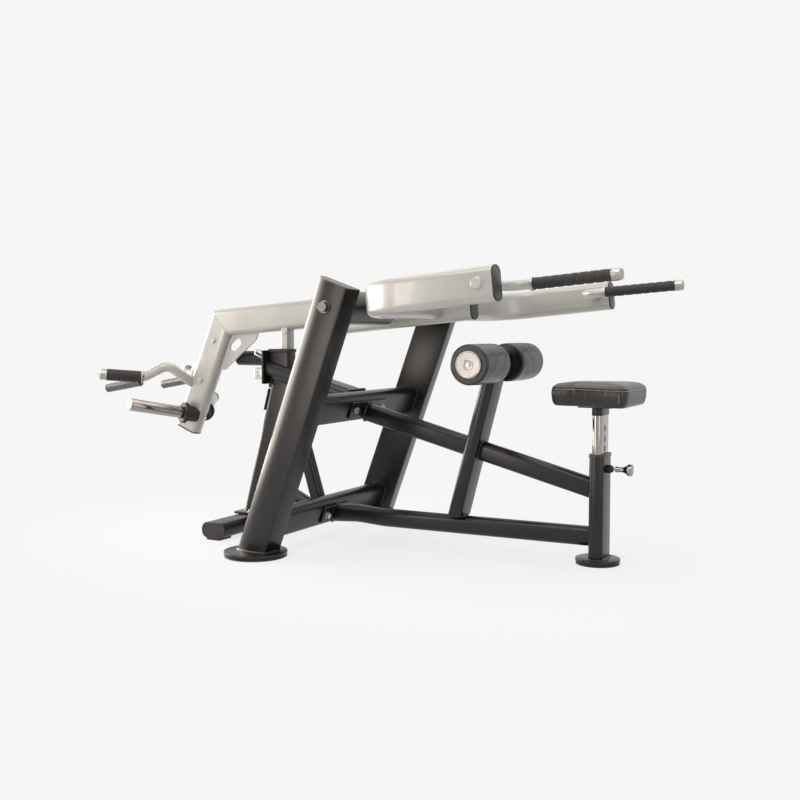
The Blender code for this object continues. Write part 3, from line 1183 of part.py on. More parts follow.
def carrier(name, origin, names):
    """Empty on a joint's axis that carries the pieces moving together."""
    holder = bpy.data.objects.new(name, None)
    parts.objects.link(holder)
    holder.location = origin
    for piece_name in names:
        piece = bpy.data.objects[piece_name]
        piece.parent = holder
        piece.matrix_parent_inverse = Matrix.Translation(-Vector(origin))


carrier("lever_axis", PIVOT,
        ["hub_tube", "pivot_bearing_left", "pivot_bearing_right", "rear_beam", "drop_leg", "front_beam",
         "yoke_left", "yoke_right", "arm_cap_left", "arm_cap_right", "beam_cap", "drop_leg_cap",
         "front_handle_left", "front_handle_right", "front_grip_left", "front_grip_right",
         "rear_handle_left", "rear_handle_right", "rear_grip_left", "rear_grip_right",
         "plate_horn_left", "plate_horn_right", "horn_ring_left", "horn_ring_right",
         "gusset_plate", "stop_foot"])
carrier("seat_slide", point(SEAT_X, SEAT_TUBE_TOP), ["seat_post", "seat_mount", "seat_pad"])
carrier("pin_slide", point(PIN_TIP, PIN_Z), ["pull_pin"])
carrier("roller_left_axis", roller_axis - Y_AXIS * (ROLLER_INNER + ROLLER_LENGTH / 2), ["roller_left"])
carrier("roller_right_axis", roller_axis + Y_AXIS * (ROLLER_INNER + ROLLER_LENGTH / 2), ["roller_right"])
for piece in parts.objects:
    if piece.parent is None and piece != machine:
        piece.parent = machine
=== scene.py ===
"""Plate-loaded triceps machine: a black leaning frame, a silver lever, padded rollers and seat.

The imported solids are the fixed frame. Each section below makes one piece, or one group of
like pieces, as surfaces worked out with numpy, and gives it the finish of the real one.
Places are measured in metres from a point on the floor by the feet of the two uprights,
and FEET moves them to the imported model's origin, under the seat.
"""

import bmesh
import bpy
import numpy as np
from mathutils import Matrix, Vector


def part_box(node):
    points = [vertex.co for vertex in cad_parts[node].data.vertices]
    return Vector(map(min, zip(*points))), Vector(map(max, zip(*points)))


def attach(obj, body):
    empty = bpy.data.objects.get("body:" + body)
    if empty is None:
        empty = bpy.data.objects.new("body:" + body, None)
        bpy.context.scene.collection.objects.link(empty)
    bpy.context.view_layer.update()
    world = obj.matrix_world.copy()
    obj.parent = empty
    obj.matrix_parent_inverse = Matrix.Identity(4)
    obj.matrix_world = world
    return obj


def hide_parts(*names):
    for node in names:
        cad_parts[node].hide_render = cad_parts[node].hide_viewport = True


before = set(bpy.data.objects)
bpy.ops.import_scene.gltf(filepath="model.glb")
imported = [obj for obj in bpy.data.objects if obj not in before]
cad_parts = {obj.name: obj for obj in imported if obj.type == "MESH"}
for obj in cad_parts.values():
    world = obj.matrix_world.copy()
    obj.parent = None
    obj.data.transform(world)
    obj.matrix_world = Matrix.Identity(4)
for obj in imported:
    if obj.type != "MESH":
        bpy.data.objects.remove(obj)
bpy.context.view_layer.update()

# Camera at the photograph's height and distance, level with the lever and looking
# slightly down along the machine from the left of the seat.
camera_data = bpy.data.cameras.new("camera")
camera_data.sensor_width = 36
camera_data.lens = 47.475
camera = bpy.data.objects.new("camera", camera_data)
bpy.context.scene.collection.objects.link(camera)
camera.location = (1.02529, -3.40207, 0.77)
LOOK = Vector((-0.46081, 0.88522, -0.06331))
camera.rotation_euler = LOOK.to_track_quat("-Z", "Y").to_euler()
bpy.context.scene.camera = camera
bpy.context.scene.view_settings.view_transform = "Standard"


def shade(code):
    """Linear RGBA of an sRGB hex colour: ((c + 0.055) / 1.055) ** 2.4, or c / 12.92 when dark."""
    value = np.array([int(code[k:k + 2], 16) for k in (1, 3, 5)]) / 255
    linear = np.where(value > 0.04045, ((value + 0.055) / 1.055) ** 2.4, value / 12.92)
    return (*linear.tolist(), 1.0)


def add(tree, kind, settings=(), links=()):
    """Add one shader node: lower-case settings are its attributes, the others its inputs."""
    made = tree.nodes.new("ShaderNode" + kind)
    for key, value in dict(settings).items():
        if isinstance(key, str) and key.islower():
            setattr(made, key, value)
        else:
            made.inputs[key].default_value = value
    for key, source in dict(links).items():
        tree.links.new(source, made.inputs[key])
    return made


# Studio: a wall of soft boxes on the left, one left of the camera, three overhead, and a weak
# fill on the right, all slightly warm. The room is paler behind the machine than in front,
# and mirrored rays see the plain backdrop, as the camera does.
BACKDROP = shade("#f6f6f6")
world = bpy.data.worlds.new("studio")
world.use_nodes = True
bpy.context.scene.world = world
tree = world.node_tree
tree.nodes.clear()
direction = add(tree, "TexCoord")
parts = add(tree, "SeparateXYZ", links={0: direction.outputs["Generated"]})
height = add(tree, "MapRange", {"From Min": -0.35, "From Max": 0.9, "To Min": 0.0, "To Max": 1.0},
             {"Value": parts.outputs["Z"]})
room = add(tree, "ValToRGB", links={0: height.outputs[0]})
room.color_ramp.elements[0].color = shade("#8f8b88")
room.color_ramp.elements[1].color = shade("#f4f5f6")
horizon = room.color_ramp.elements.new(0.32)
horizon.color = shade("#a8a4a0")
depth = add(tree, "MapRange", {"From Min": -0.8, "From Max": 0.9, "To Min": 0.34, "To Max": 0.80},
            {"Value": parts.outputs["Y"]})
sky = add(tree, "Background", links={"Color": room.outputs["Color"], "Strength": depth.outputs[0]})
plain = add(tree, "Background", {"Color": BACKDROP, "Strength": 1.0})


def backdrop_rays(tree):
    """1 for the rays that see the plain backdrop: the camera's, mirrored ones and those through glass."""
    path = add(tree, "LightPath")
    mirrored_ray = add(tree, "Math", {"operation": "MAXIMUM"},
                       {0: path.outputs["Is Camera Ray"], 1: path.outputs["Is Glossy Ray"]})
    return add(tree, "Math", {"operation": "MAXIMUM"},
               {0: mirrored_ray.outputs[0], 1: path.outputs["Is Transmission Ray"]}).outputs[0]


seen = add(tree, "MixShader", links={0: backdrop_rays(tree), 1: sky.outputs[0], 2: plain.outputs[0]})
tree.links.new(seen.outputs[0], add(tree, "OutputWorld").inputs["Surface"])

for name, place, aim, size, power in (
        ("softbox_left_wall", (-5.0, 0.0, 1.2), (-0.5, 0.0, 0.6), (4.8, 2.1), 300),
        ("softbox_left_front", (-2.75, -4.2, 1.1), (-0.75, 0.39, 0.6), (1.0, 1.9), 34),
        ("softbox_over_back", (-0.5, 1.9, 3.6), (-0.5, 0.0, 0.5), (5.0, 2.6), 45),
        ("softbox_over_middle", (-0.5, -0.6, 3.8), (-0.5, 0.0, 0.5), (4.4, 3.0), 50),
        ("softbox_over_front", (-0.5, -3.0, 4.0), (-0.5, 0.0, 0.5), (3.0, 1.6), 60),
        ("fill_right_front", (3.4, -2.8, 1.4), (-0.5, 0.0, 0.5), (2.4, 2.0), 20)):
    lamp = bpy.data.lights.new(name, "AREA")
    lamp.color = shade("#fff3e8")[:3]
    lamp.shape = "RECTANGLE"
    lamp.size = size[0]
    lamp.size_y = size[1]
    lamp.energy = power
    holder = bpy.data.objects.new(name, lamp)
    bpy.context.scene.collection.objects.link(holder)
    holder.location = place
    holder.rotation_euler = (Vector(aim) - Vector(place)).to_track_quat("-Z", "Y").to_euler()

# Floor: a pale studio floor that fades into the backdrop away from the machine and keeps
# a faint shadow under it.
floor_mesh = bpy.data.meshes.new("floor")
FLOOR_HALF = 40
floor_corners = [(x * FLOOR_HALF, y * FLOOR_HALF, -0.0005) for x, y in ((-1, -1), (1, -1), (1, 1), (-1, 1))]
floor_mesh.from_pydata(floor_corners, [], [(0, 1, 2, 3)])
floor = bpy.data.objects.new("floor", floor_mesh)
bpy.context.scene.collection.objects.link(floor)
pale_floor = bpy.data.materials.new("pale_studio_floor")
pale_floor.use_nodes = True
tree = pale_floor.node_tree
tree.nodes.clear()
place = add(tree, "TexCoord")
spot = add(tree, "Mapping", {"Location": (0.25, 0, 0), "Scale": (0.5, 0.8, 1)},
           {"Vector": place.outputs["Object"]})
away = add(tree, "VectorMath", {"operation": "LENGTH"}, {0: spot.outputs[0]})
fade = add(tree, "MapRange", {"interpolation_type": "SMOOTHSTEP", "From Min": 0.35, "From Max": 1.0,
                              "To Min": 0.80, "To Max": 1.0}, {"Value": away.outputs["Value"]})
lit = add(tree, "BsdfDiffuse", {"Color": shade("#f0f0f0")})
flat_white = add(tree, "Emission", {"Color": BACKDROP, "Strength": 1.0})
share = add(tree, "Math", {"operation": "MULTIPLY"}, {0: fade.outputs[0], 1: backdrop_rays(tree)})
mix = add(tree, "MixShader", links={0: share.outputs[0], 1: lit.outputs[0], 2: flat_white.outputs[0]})
tree.links.new(mix.outputs[0], add(tree, "OutputMaterial").inputs["Surface"])
floor_mesh.materials.append(pale_floor)


# Uprights: two leaning steel tubes with a flat inner face, a crisp crease down the side
# towards the seat and a long soft curve on the other, welded to round foot flanges.
FEET = np.array([-1.108, 0.0, 0.0])
LEAN = np.radians(20.0)
PIVOT = np.array([0.325, 0.0, 0.855])
UPRIGHT_INNER = 0.388
UPRIGHT_REACH = 0.075
UPRIGHT_LOW, UPRIGHT_HIGH = 0.0190, 0.930
FLANGE_X = 0.020
FLANGE_Y = UPRIGHT_INNER + UPRIGHT_REACH / 2
FLANGE_BASE, FLANGE_TOP = 0.0083, 0.0203
MERGE = 0.000002
X_AXIS, Y_AXIS, Z_AXIS = np.eye(3)
UP_LEAN = np.array([np.sin(LEAN), 0, np.cos(LEAN)])
FORWARD_LEAN = np.array([np.cos(LEAN), 0, -np.sin(LEAN)])


def unit(vectors):
    """Vectors divided by their lengths."""
    return vectors / np.linalg.norm(vectors, axis=-1, keepdims=True)


def arcs(points, radii, steps=8):
    """Polyline whose inner corners become arcs of the given radii.

    An arc's centre lies on the corner's half line, radius / sin(half angle) out, and its
    points are turned about it in even steps.
    """
    points = np.array(points, float)
    made = [points[:1]]
    t = np.linspace(0, 1, steps + 1)[:, None]
    for before, here, after, radius in zip(points, points[1:], points[2:], radii):
        back = unit(before - here)
        ahead = unit(after - here)
        half = np.arccos(np.clip(back @ ahead, -1, 1)) / 2
        centre = here + unit(back + ahead) * radius / np.sin(half)
        first = here + back * radius / np.tan(half) - centre
        last = here + ahead * radius / np.tan(half) - centre
        turn = np.pi - 2 * half
        made.append(centre + (np.sin((1 - t) * turn) * first + np.sin(t * turn) * last) / np.sin(turn))
    made.append(points[-1:])
    return np.concatenate(made)


def carried(outline, path, across, cuts=(None, None)):
    """Grid of an outline carried along a path with mitred corners.

    point(k, j) = path_k + u_j side + v_j rise, slid along the run onto the plane halfway
    between the runs before and after it, or onto the cut that ends the bar.
    """
    path = np.array(path, float)
    run = unit(np.diff(path, axis=0))
    before = np.vstack([run[:1], run])
    after = np.vstack([run, run[-1:]])
    plane = unit(before + after)
    for end, cut in zip((0, -1), cuts):
        if cut is not None:
            plane[end] = cut
    side = unit(across - (after @ across)[:, None] * after)
    rise = np.cross(after, side)
    grid = path[:, None] + outline[:, :1] * side[:, None] + outline[:, 1:] * rise[:, None]
    slant = np.einsum("kc,kc->k", after, plane)[:, None]
    slide = np.einsum("kjc,kc->kj", path[:, None] - grid, plane) / slant
    return grid + slide[..., None] * after[:, None]


def skin(grid, lids=True):
    """Vertices and faces of a grid whose rows are closed rings, with lids on its two ends."""
    rows, columns = grid.shape[:2]
    index = np.arange(rows * columns).reshape(rows, columns)
    beside = np.roll(index, -1, 1)
    faces = np.stack([index[:-1], beside[:-1], beside[1:], index[1:]], -1).reshape(-1, 4).tolist()
    if lids:
        faces += [index[0, ::-1].tolist(), index[-1].tolist()]
    return grid.reshape(-1, 3), faces


def bar(outline, path, across, cuts=(None, None), soft=0.0012):
    """Bar with softened ends: the end rings shrink by soft (1 - sin t) while they move in by
    soft (1 - cos t), a quarter circle from the lid to the side."""
    grid = carried(outline, path, np.array(across, float), cuts)
    t = np.linspace(0, np.pi / 2, 4)[:, None, None]
    first, last = (ring + soft * (1 - np.sin(t)) * unit(ring.mean(0) - ring)
                   + soft * (1 - np.cos(t)) * unit(beyond.mean(0) - ring.mean(0))
                   for ring, beyond in ((grid[0], grid[1]), (grid[-1], grid[-2])))
    return skin(np.concatenate([first, grid[1:-1], last[::-1]]))


def whole_turn(steps):
    """Angles of a whole turn in even steps."""
    return np.linspace(0, 2 * np.pi, steps, endpoint=False)


def square_to(axis):
    """Two directions square to an axis and to each other."""
    side = unit(np.cross(axis, X_AXIS if abs(axis[0]) < 0.9 else Y_AXIS))
    return side, np.cross(axis, side)


def turned(profile, base, axis, steps=48):
    """Turned surface: base + height * axis + radius * (cos a * side + sin a * rise)."""
    profile = np.array(profile, float)
    axis = unit(np.array(axis, float))
    side, rise = square_to(axis)
    angle = whole_turn(steps)[:, None]
    spoke = np.cos(angle) * side + np.sin(angle) * rise
    grid = np.array(base, float) + profile[:, None, 1:] * axis + profile[:, None, :1] * spoke
    return skin(grid, lids=False)


def together(*shapes):
    """Several shapes as one list of vertices and one of faces."""
    starts = np.cumsum([0] + [len(vertices) for vertices, _ in shapes])
    faces = [[k + start for k in face] for (_, some), start in zip(shapes, starts) for face in some]
    return np.concatenate([vertices for vertices, _ in shapes]), faces


def mirrored(shape, hand):
    """The shape itself for the right hand, or its mirror image in the centre plane for the left."""
    if hand == "_right":
        return shape
    vertices, faces = shape
    return vertices * (1, -1, 1), [face[::-1] for face in faces]


def make(name, shape, finish, body, nodes=(), slot=None, crease=32):
    """Mesh object from a shape, smooth except along creases, riding on its body. A finish is
    a material, which the mesh takes, and a slot name. The slot argument and the finish's slot are not used."""
    vertices, faces = shape
    material, usual_slot = finish
    slot = slot or usual_slot
    mesh = bpy.data.meshes.new(name)
    mesh.from_pydata((vertices + FEET).tolist(), [], faces)
    tidy = bmesh.new()
    tidy.from_mesh(mesh)
    bmesh.ops.remove_doubles(tidy, verts=tidy.verts[:], dist=MERGE)
    bmesh.ops.dissolve_degenerate(tidy, edges=tidy.edges[:], dist=MERGE)
    bmesh.ops.recalc_face_normals(tidy, faces=tidy.faces[:])
    tidy.to_mesh(mesh)
    tidy.free()
    mesh.materials.append(material)
    mesh.shade_smooth()
    mesh.set_sharp_from_angle(angle=np.radians(crease))
    made = bpy.data.objects.new(name, mesh)
    bpy.context.scene.collection.objects.link(made)
    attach(made, body)
    if nodes:
        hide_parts(*nodes)
    return made


def make_pair(name, shape, finish, body, node=None, slot=None, crease=32):
    """A right-hand piece and its mirror image on the left, each for its own node."""
    for hand in ("_left", "_right"):
        nodes = [node + hand] if node else ()
        make(name + hand, mirrored(shape, hand), finish, body, nodes, slot, crease)


def mottled(name, cloud, shades, gloss, spread=(0.0, 1.0), metallic=0.0, specular=0.5, bump=None,
            ripple=None):
    """Material whose colour goes from one shade to another with a cloud of noise, over its spread.

    gloss is one roughness, or the two that the cloud goes between. bump is a strength and a
    depth in metres, and follows the cloud, or a finer ripple of noise where one is given.
    """
    made = bpy.data.materials.new(name)
    made.use_nodes = True
    tree = made.node_tree
    surface = tree.nodes["Principled BSDF"]
    surface.inputs["Metallic"].default_value = metallic
    surface.inputs["Specular IOR Level"].default_value = specular
    place = add(tree, "TexCoord").outputs["Object"]
    height = add(tree, "TexNoise", cloud, {"Vector": place}).outputs["Fac"]
    tint = add(tree, "ValToRGB", links={0: height})
    for stop, position, code in zip(tint.color_ramp.elements, spread, shades):
        stop.position = position
        stop.color = shade(code)
    tree.links.new(tint.outputs["Color"], surface.inputs["Base Color"])
    if isinstance(gloss, tuple):
        rough = add(tree, "MapRange", {"To Min": gloss[0], "To Max": gloss[1]}, {"Value": height})
        tree.links.new(rough.outputs[0], surface.inputs["Roughness"])
    else:
        surface.inputs["Roughness"].default_value = gloss
    if ripple:
        height = add(tree, "TexNoise", ripple, {"Vector": place}).outputs["Fac"]
    if bump:
        raised = add(tree, "Bump", {"Strength": bump[0], "Distance": bump[1]}, {"Height": height})
        tree.links.new(raised.outputs[0], surface.inputs["Normal"])
    return made


# Satin black powder coat, polyester baked on steel: a near-black with a warm cast and a soft
# reflection. Its ripple of flowed powder is about 1 mm across, drawn 3 mm so that it shows.
# The weld beads have thicker, wetter paint.
BLACK = (mottled("satin_black_powder_coat", {"Scale": 7.0, "Detail": 3.0}, ("#0f0c0d", "#161213"),
                 (0.26, 0.35), (0.3, 0.7), specular=0.42, bump=(0.10, 0.0004),
                 ripple={"Scale": 330.0, "Detail": 2.0}), "black_paint")
WELD_BLACK = (mottled("coated_weld_bead", {"Scale": 60.0, "Detail": 2.0}, ("#191718", "#2b2827"), 0.2),
              "black_paint")


def lengths(line):
    """Length of a polyline up to each of its points."""
    return np.concatenate([[0], np.cumsum(np.linalg.norm(np.diff(line, axis=0), axis=1))])


def sample(line, length, s):
    """Values that go with a polyline, at the lengths s along it."""
    return np.stack([np.interp(s, length, column) for column in line.T], 1)


def bead(ring, radius=0.0032, pitch=0.0055):
    """Weld bead round a closed ring: a tube whose radius swells and sinks once a pitch.

    The ring is resampled at equal steps of its length s, and radius(s) is
    radius * (1 + 0.16 |cos(pi s / pitch)|), with a whole number of pitches in the ring.
    """
    sides = 8
    closed = np.vstack([ring, ring[:1]])
    length = lengths(closed)
    count = max(24, int(length[-1] / pitch) * 4)
    s = np.linspace(0, length[-1], count, endpoint=False)
    path = sample(closed, length, s)
    run = unit(np.roll(path, -1, 0) - np.roll(path, 1, 0))
    out = unit(path - path.mean(0))
    side = unit(out - (out * run).sum(1)[:, None] * run)
    rise = np.cross(run, side)
    even_pitch = length[-1] / max(1, round(length[-1] / pitch))
    size = radius * (1 + 0.16 * np.abs(np.cos(np.pi * s / even_pitch)))
    angle = whole_turn(sides)[:, None]
    spoke = np.cos(angle) * side[:, None] + np.sin(angle) * rise[:, None]
    grid = path[:, None] + size[:, None, None] * spoke
    index = np.arange(count * sides).reshape(count, sides)
    down = np.roll(index, -1, 0)
    faces = np.stack([index, np.roll(index, -1, 1), np.roll(down, -1, 1), down], -1).reshape(-1, 4)
    return grid.reshape(-1, 3), faces.tolist()


def axis_x(z):
    """X of the uprights' centre line at a height."""
    return PIVOT[0] + (z - PIVOT[2]) * np.tan(LEAN)


def side_view(x, z, y=0.0):
    """A point given in the side view, on the centre plane unless y says otherwise."""
    return np.array([x, y, z])


t = np.linspace(0, 1, 24)[:, None]
soft_curve = ((1 - t) ** 3 * (0.0585, 0.0748) + 3 * (1 - t) ** 2 * t * (0.006, 0.0756)
              + 3 * (1 - t) * t ** 2 * (-0.089, 0.0745) + t ** 3 * (-0.0712, 0.006))
crisp = arcs([(-0.060, 0), (0.0705, 0), (0.0590, 0.0750), (0.040, 0.0758)], (0.004, 0.0030), 4)[1:-1]
soft_corner = arcs([(-0.0716, 0.009), (-0.0705, 0), (-0.060, 0)], (0.003,), 4)[1:-1]
UPRIGHT_OUTLINE = np.vstack([crisp, soft_curve[2:-1], soft_corner])
upright_foot, upright_weld, upright_head = (side_view(axis_x(z), z, UPRIGHT_INNER)
                                            for z in (UPRIGHT_LOW, FLANGE_TOP, UPRIGHT_HIGH))
flange_profile = [(0, 0), (0.106, 0), (0.1092, 0.0008), (0.110, 0.003), (0.110, 0.009), (0.1092, 0.0112),
                  (0.106, 0.012), (0, 0.012)]
upright_tube = bar(UPRIGHT_OUTLINE, [upright_foot, upright_head], FORWARD_LEAN, (Z_AXIS, None), 0.0008)
upright_flange = turned(flange_profile, (FLANGE_X, FLANGE_Y, FLANGE_BASE), Z_AXIS, 96)
make_pair("upright_tube", together(upright_tube, upright_flange), BLACK, "frame", "upright")
foot_ring = carried(UPRIGHT_OUTLINE * 1.01, [upright_weld, upright_head], FORWARD_LEAN, (Z_AXIS, None))[0]
make_pair("upright_foot_weld", bead(foot_ring, 0.0045, 0.007), WELD_BLACK, "frame")


# Upright caps: injection-moulded plugs with a rim on the tube's end and a low crown. Black
# polypropylene with a fine spark-eroded grain: satin, and lighter where light grazes it.
PLASTIC = (mottled("moulded_black_polypropylene", {"Scale": 420.0, "Detail": 3.0}, ("#1b191a", "#2c292a"),
                   0.34, bump=(0.15, 0.0004)), "black_plastic")
GAP = 0.0003


def plug(outline, start, run, across, thickness, crown):
    """End cap: a rim as wide as the tube, then rings that shrink to the middle by inset while
    they rise by lift * crown, over a shallow groove inside the rim."""
    run = unit(np.array(run, float))
    base = carried(outline, [start, start + run * thickness], np.array(across, float))
    inset = np.array([0.0, 0.02, 0.06, 0.12, 0.30, 0.60, 1.0])[:, None, None]
    lift = np.array([0.0, 0.25, 0.45, 0.30, 0.45, 0.85, 1.0])[:, None, None] * crown
    top = base[1] + (base[1].mean(0) - base[1]) * inset + run * lift
    return skin(np.concatenate([base[:1], top]))


upright_plug = plug(UPRIGHT_OUTLINE, upright_head + UP_LEAN * GAP, UP_LEAN, FORWARD_LEAN, 0.0032, 0.0030)
make_pair("upright_plug", upright_plug, PLASTIC, "frame", "upright_cap")


# Floor pads: moulded rubber discs stuck under the foot flanges. Carbon-black rubber, matt,
# with a dusty bloom in the low places.
RUBBER = (mottled("moulded_sbr_rubber", {"Scale": 45.0, "Detail": 5.0, "Roughness": 0.65},
                  ("#121112", "#232122"), 0.62, bump=(0.2, 0.0005)), "rubber")
SEAT_X = 1.108
for foot, centre, radius in (("left", (FLANGE_X, -FLANGE_Y, 0), 0.1085),
                             ("right", (FLANGE_X, FLANGE_Y, 0), 0.1085),
                             ("seat", (SEAT_X, 0, 0), 0.0730)):
    disc = turned([(0, 0), (radius - 0.002, 0), (radius, 0.001), (radius - 0.0015, 0.004), (radius, 0.007),
                   (radius - 0.001, 0.008), (0, 0.008)], centre, Z_AXIS, 72)
    make("floor_disc_" + foot, disc, RUBBER, "frame", ["floor_pad_" + foot])


# Cross members: flat-sided tubes between the uprights, long way along the lean, welded
# to the inner faces all round.
WELDED = 0.0004


def flat_oval(width, depth, bulge=0.022, steps=14):
    """Outline with straight sides, closed by half ellipses bulge long and depth wide."""
    angle = np.linspace(-np.pi / 2, np.pi / 2, steps + 1)
    end = np.stack([width / 2 - bulge + bulge * np.cos(angle), depth / 2 * np.sin(angle)], 1)
    return np.concatenate([end, -end])


TUBE = flat_oval(0.108, 0.060)
CROSS_HALF = 0.3877
UPPER_CENTRE = side_view(axis_x(0.503), 0.503)
LOWER_CENTRE = side_view(axis_x(0.105), 0.105)
for name, centre in (("upper_cross_member", UPPER_CENTRE), ("lower_cross_member", LOWER_CENTRE)):
    ends = [centre - Y_AXIS * CROSS_HALF, centre + Y_AXIS * CROSS_HALF]
    make(name + "_tube", bar(TUBE, ends, UP_LEAN, soft=WELDED), BLACK, "frame", [name])
    rings = carried(flat_oval(0.110, 0.062), ends, UP_LEAN)
    make(name + "_welds", together(bead(rings[0]), bead(rings[1])), WELD_BLACK, "frame")


# Legs: flat-sided oval tube on edge, from bolted end plates on the cross members to the
# seat tube. The upper one is broken by the roller post, the lower one has a slight knee.
def ring_of(corners, radii, steps=5):
    """Closed outline whose corners are arcs: the open one begun and ended halfway along a side."""
    corners = np.array(corners, float)
    start = (corners[0] + corners[-1]) / 2
    return arcs(np.vstack([start, corners, start]), radii, steps)[:-1]


def round_box(width, depth, radius, steps=6):
    """Rounded rectangle, one corner arc after another."""
    corners = np.array([(1, -1), (1, 1), (-1, 1), (-1, -1)]) * (width / 2, depth / 2)
    return ring_of(corners, (radius,) * 4, steps)


def meet(start, run, line_point, line_run):
    """Point where a line in the side view meets another."""
    across = np.array([-line_run[2], 0, line_run[0]])
    return start + run * ((line_point - start) @ across) / (run @ across)


def above(run):
    """Direction square to a run in the side view, on its upper side if it goes to the seat."""
    return np.array([-run[2], 0, run[0]])


def downhill(degrees):
    """Direction towards the seat that falls by an angle."""
    return np.array([np.cos(np.radians(degrees)), 0, -np.sin(np.radians(degrees))])


def end_plate(centre, facing, width, shift=0.0):
    """Plate with rounded corners on the flat face of a leaning cross member."""
    out = FORWARD_LEAN * facing
    seat = centre + out * (TUBE_HALF + GAP) + UP_LEAN * shift
    return bar(round_box(0.064, width, 0.008), [seat, seat + out * 0.008], UP_LEAN, soft=0.0008)


TUBE_HALF = 0.030
PLATE_FACE = TUBE_HALF + GAP + 0.008
PLATE_SINK = 0.0015
LEG_END = SEAT_X - 0.0195
POST_HALF = 0.0245
post_low = side_view(0.598, 0.120)
post_run = unit(side_view(0.742, 0.667) - post_low)
post_front = -above(post_run)
post_foot = post_low + post_run * (0.0033 / post_run[2])
post_skin = post_front * (POST_HALF - 0.0008)
upper_run = downhill(14.8)
upper_start = UPPER_CENTRE + FORWARD_LEAN * (PLATE_FACE - PLATE_SINK) - UP_LEAN * 0.011
upper_end = upper_start + upper_run * (LEG_END - upper_start[0]) / upper_run[0]
meets_rear = meet(upper_start, upper_run, post_foot - post_skin, post_run)
meets_front = meet(upper_start, upper_run, post_foot + post_skin, post_run)
lower_path = arcs([LOWER_CENTRE + FORWARD_LEAN * (PLATE_FACE - PLATE_SINK), side_view(0.190, 0.0985),
                   side_view(0.300, 0.0905), side_view(LEG_END, 0.0905)], (0.35, 0.45), 6)
upper_outline = flat_oval(0.070, 0.045, 0.021)
lower_outline = flat_oval(0.067, 0.045, 0.021)
leg_beads = []
for name, outline, path, cuts, plates, weld_lead in (
        ("upper_leg_rear", upper_outline, [upper_start, meets_rear], (FORWARD_LEAN, post_front),
         [end_plate(UPPER_CENTRE, 1, 0.260)], 0.002),
        ("upper_leg_front", upper_outline, [meets_front, upper_end], (post_front, X_AXIS), [], 0.0),
        ("lower_leg", lower_outline, lower_path, (FORWARD_LEAN, None),
         [end_plate(LOWER_CENTRE, 1, 0.180)], 0.0)):
    make(name + "_tube", together(bar(outline, path, Z_AXIS, cuts, WELDED), *plates), BLACK, "frame", [name])
    rings = carried(outline * 1.03, [path[0] + upper_run * weld_lead, *path[1:]], Z_AXIS, cuts)
    leg_beads += [bead(rings[0]), bead(rings[-1])]
make("leg_welds", together(*leg_beads), WELD_BLACK, "frame")


# Plate bolts: zinc-plated hexagon heads on washers, two through each end plate. The plating
# is blue-passivated: bright and faintly clouded.
ZINC = (mottled("blue_zinc_plated_steel", {"Scale": 90.0, "Detail": 4.0}, ("#a9a8a4", "#d2d1cd"),
                (0.18, 0.38), metallic=1.0), "zinc")


def hex_bolt(seat, axis, size, washer=True):
    """Hexagon head on a washer. The head's ring is the hexagon radius flat / cos(a - nearest flat),
    cut by a cone at the top: min(hexagon, flat * (1.14 - 0.16 f)) as f goes from 0 to 1."""
    flat = size / 2
    thick = size * 0.12 if washer else 0.0
    tall = thick + size * 0.42
    angle = whole_turn(48)
    hexagon = flat / np.cos((angle + np.pi / 6) % (np.pi / 3) - np.pi / 6)
    f = np.linspace(0, 1, 5)[:, None]
    cone = np.minimum(hexagon, flat * (1.14 - 0.16 * f))
    radius = np.vstack([hexagon * 0, hexagon, hexagon, cone, cone[-1:] * 0.72, cone[-1:] * 0])
    cone_height = tall - size * 0.08 * (1 - f[:, 0])
    height = np.concatenate([[0, 0, tall - size * 0.09], cone_height, [tall, tall - size * 0.02]])
    axis = unit(np.array(axis, float))
    side, rise = square_to(axis)
    spoke = np.cos(angle)[:, None] * side + np.sin(angle)[:, None] * rise
    grid = np.array(seat, float) + radius[..., None] * spoke + height[:, None, None] * axis
    shapes = [skin(grid, lids=False)]
    if washer:
        rim = size * 0.68
        disc = [(0, 0), (rim, 0), (rim, thick * 0.8), (rim - thick * 0.2, thick), (0, thick)]
        shapes.append(turned(disc, seat, axis))
    return together(*shapes)


plate_bolts = [hex_bolt(centre + FORWARD_LEAN * PLATE_FACE + Y_AXIS * side * spread, FORWARD_LEAN, 0.020)
               for centre, spread in ((UPPER_CENTRE, 0.093), (LOWER_CENTRE, 0.060)) for side in (-1, 1)]
make("plate_bolts", together(*plate_bolts), ZINC, "frame")


# Roller post: flat-sided oval tube standing broadside on the lower leg, its round ends to
# the sides, with a boss each side for the axle.
ROLLER_AXIS = side_view(0.750, 0.667)
post_head = post_foot + post_run * ((0.700 - post_foot[2]) / post_run[2])
post_outline = flat_oval(0.108, 2 * POST_HALF, 0.015)
boss_profile = [(0, 0), (0.016, 0), (0.018, 0.002), (0.018, 0.018), (0.016, 0.020), (0, 0.020)]
bosses = [turned(boss_profile, ROLLER_AXIS + Y_AXIS * side * 0.0385, Y_AXIS * side) for side in (-1, 1)]
post_tube = bar(post_outline, [post_foot, post_head], Y_AXIS, (Z_AXIS, None))
make("roller_post_tube", together(post_tube, *bosses), BLACK, "frame", ["roller_post"])
make("roller_post_plug", plug(post_outline, post_head, post_run, Y_AXIS, 0.0025, 0.0015), PLASTIC, "frame")
post_ring = carried(flat_oval(0.060, 0.052, 0.012), [post_foot, post_head], Y_AXIS, (Z_AXIS, None))[0]
make("roller_post_weld", bead(post_ring), WELD_BLACK, "frame")


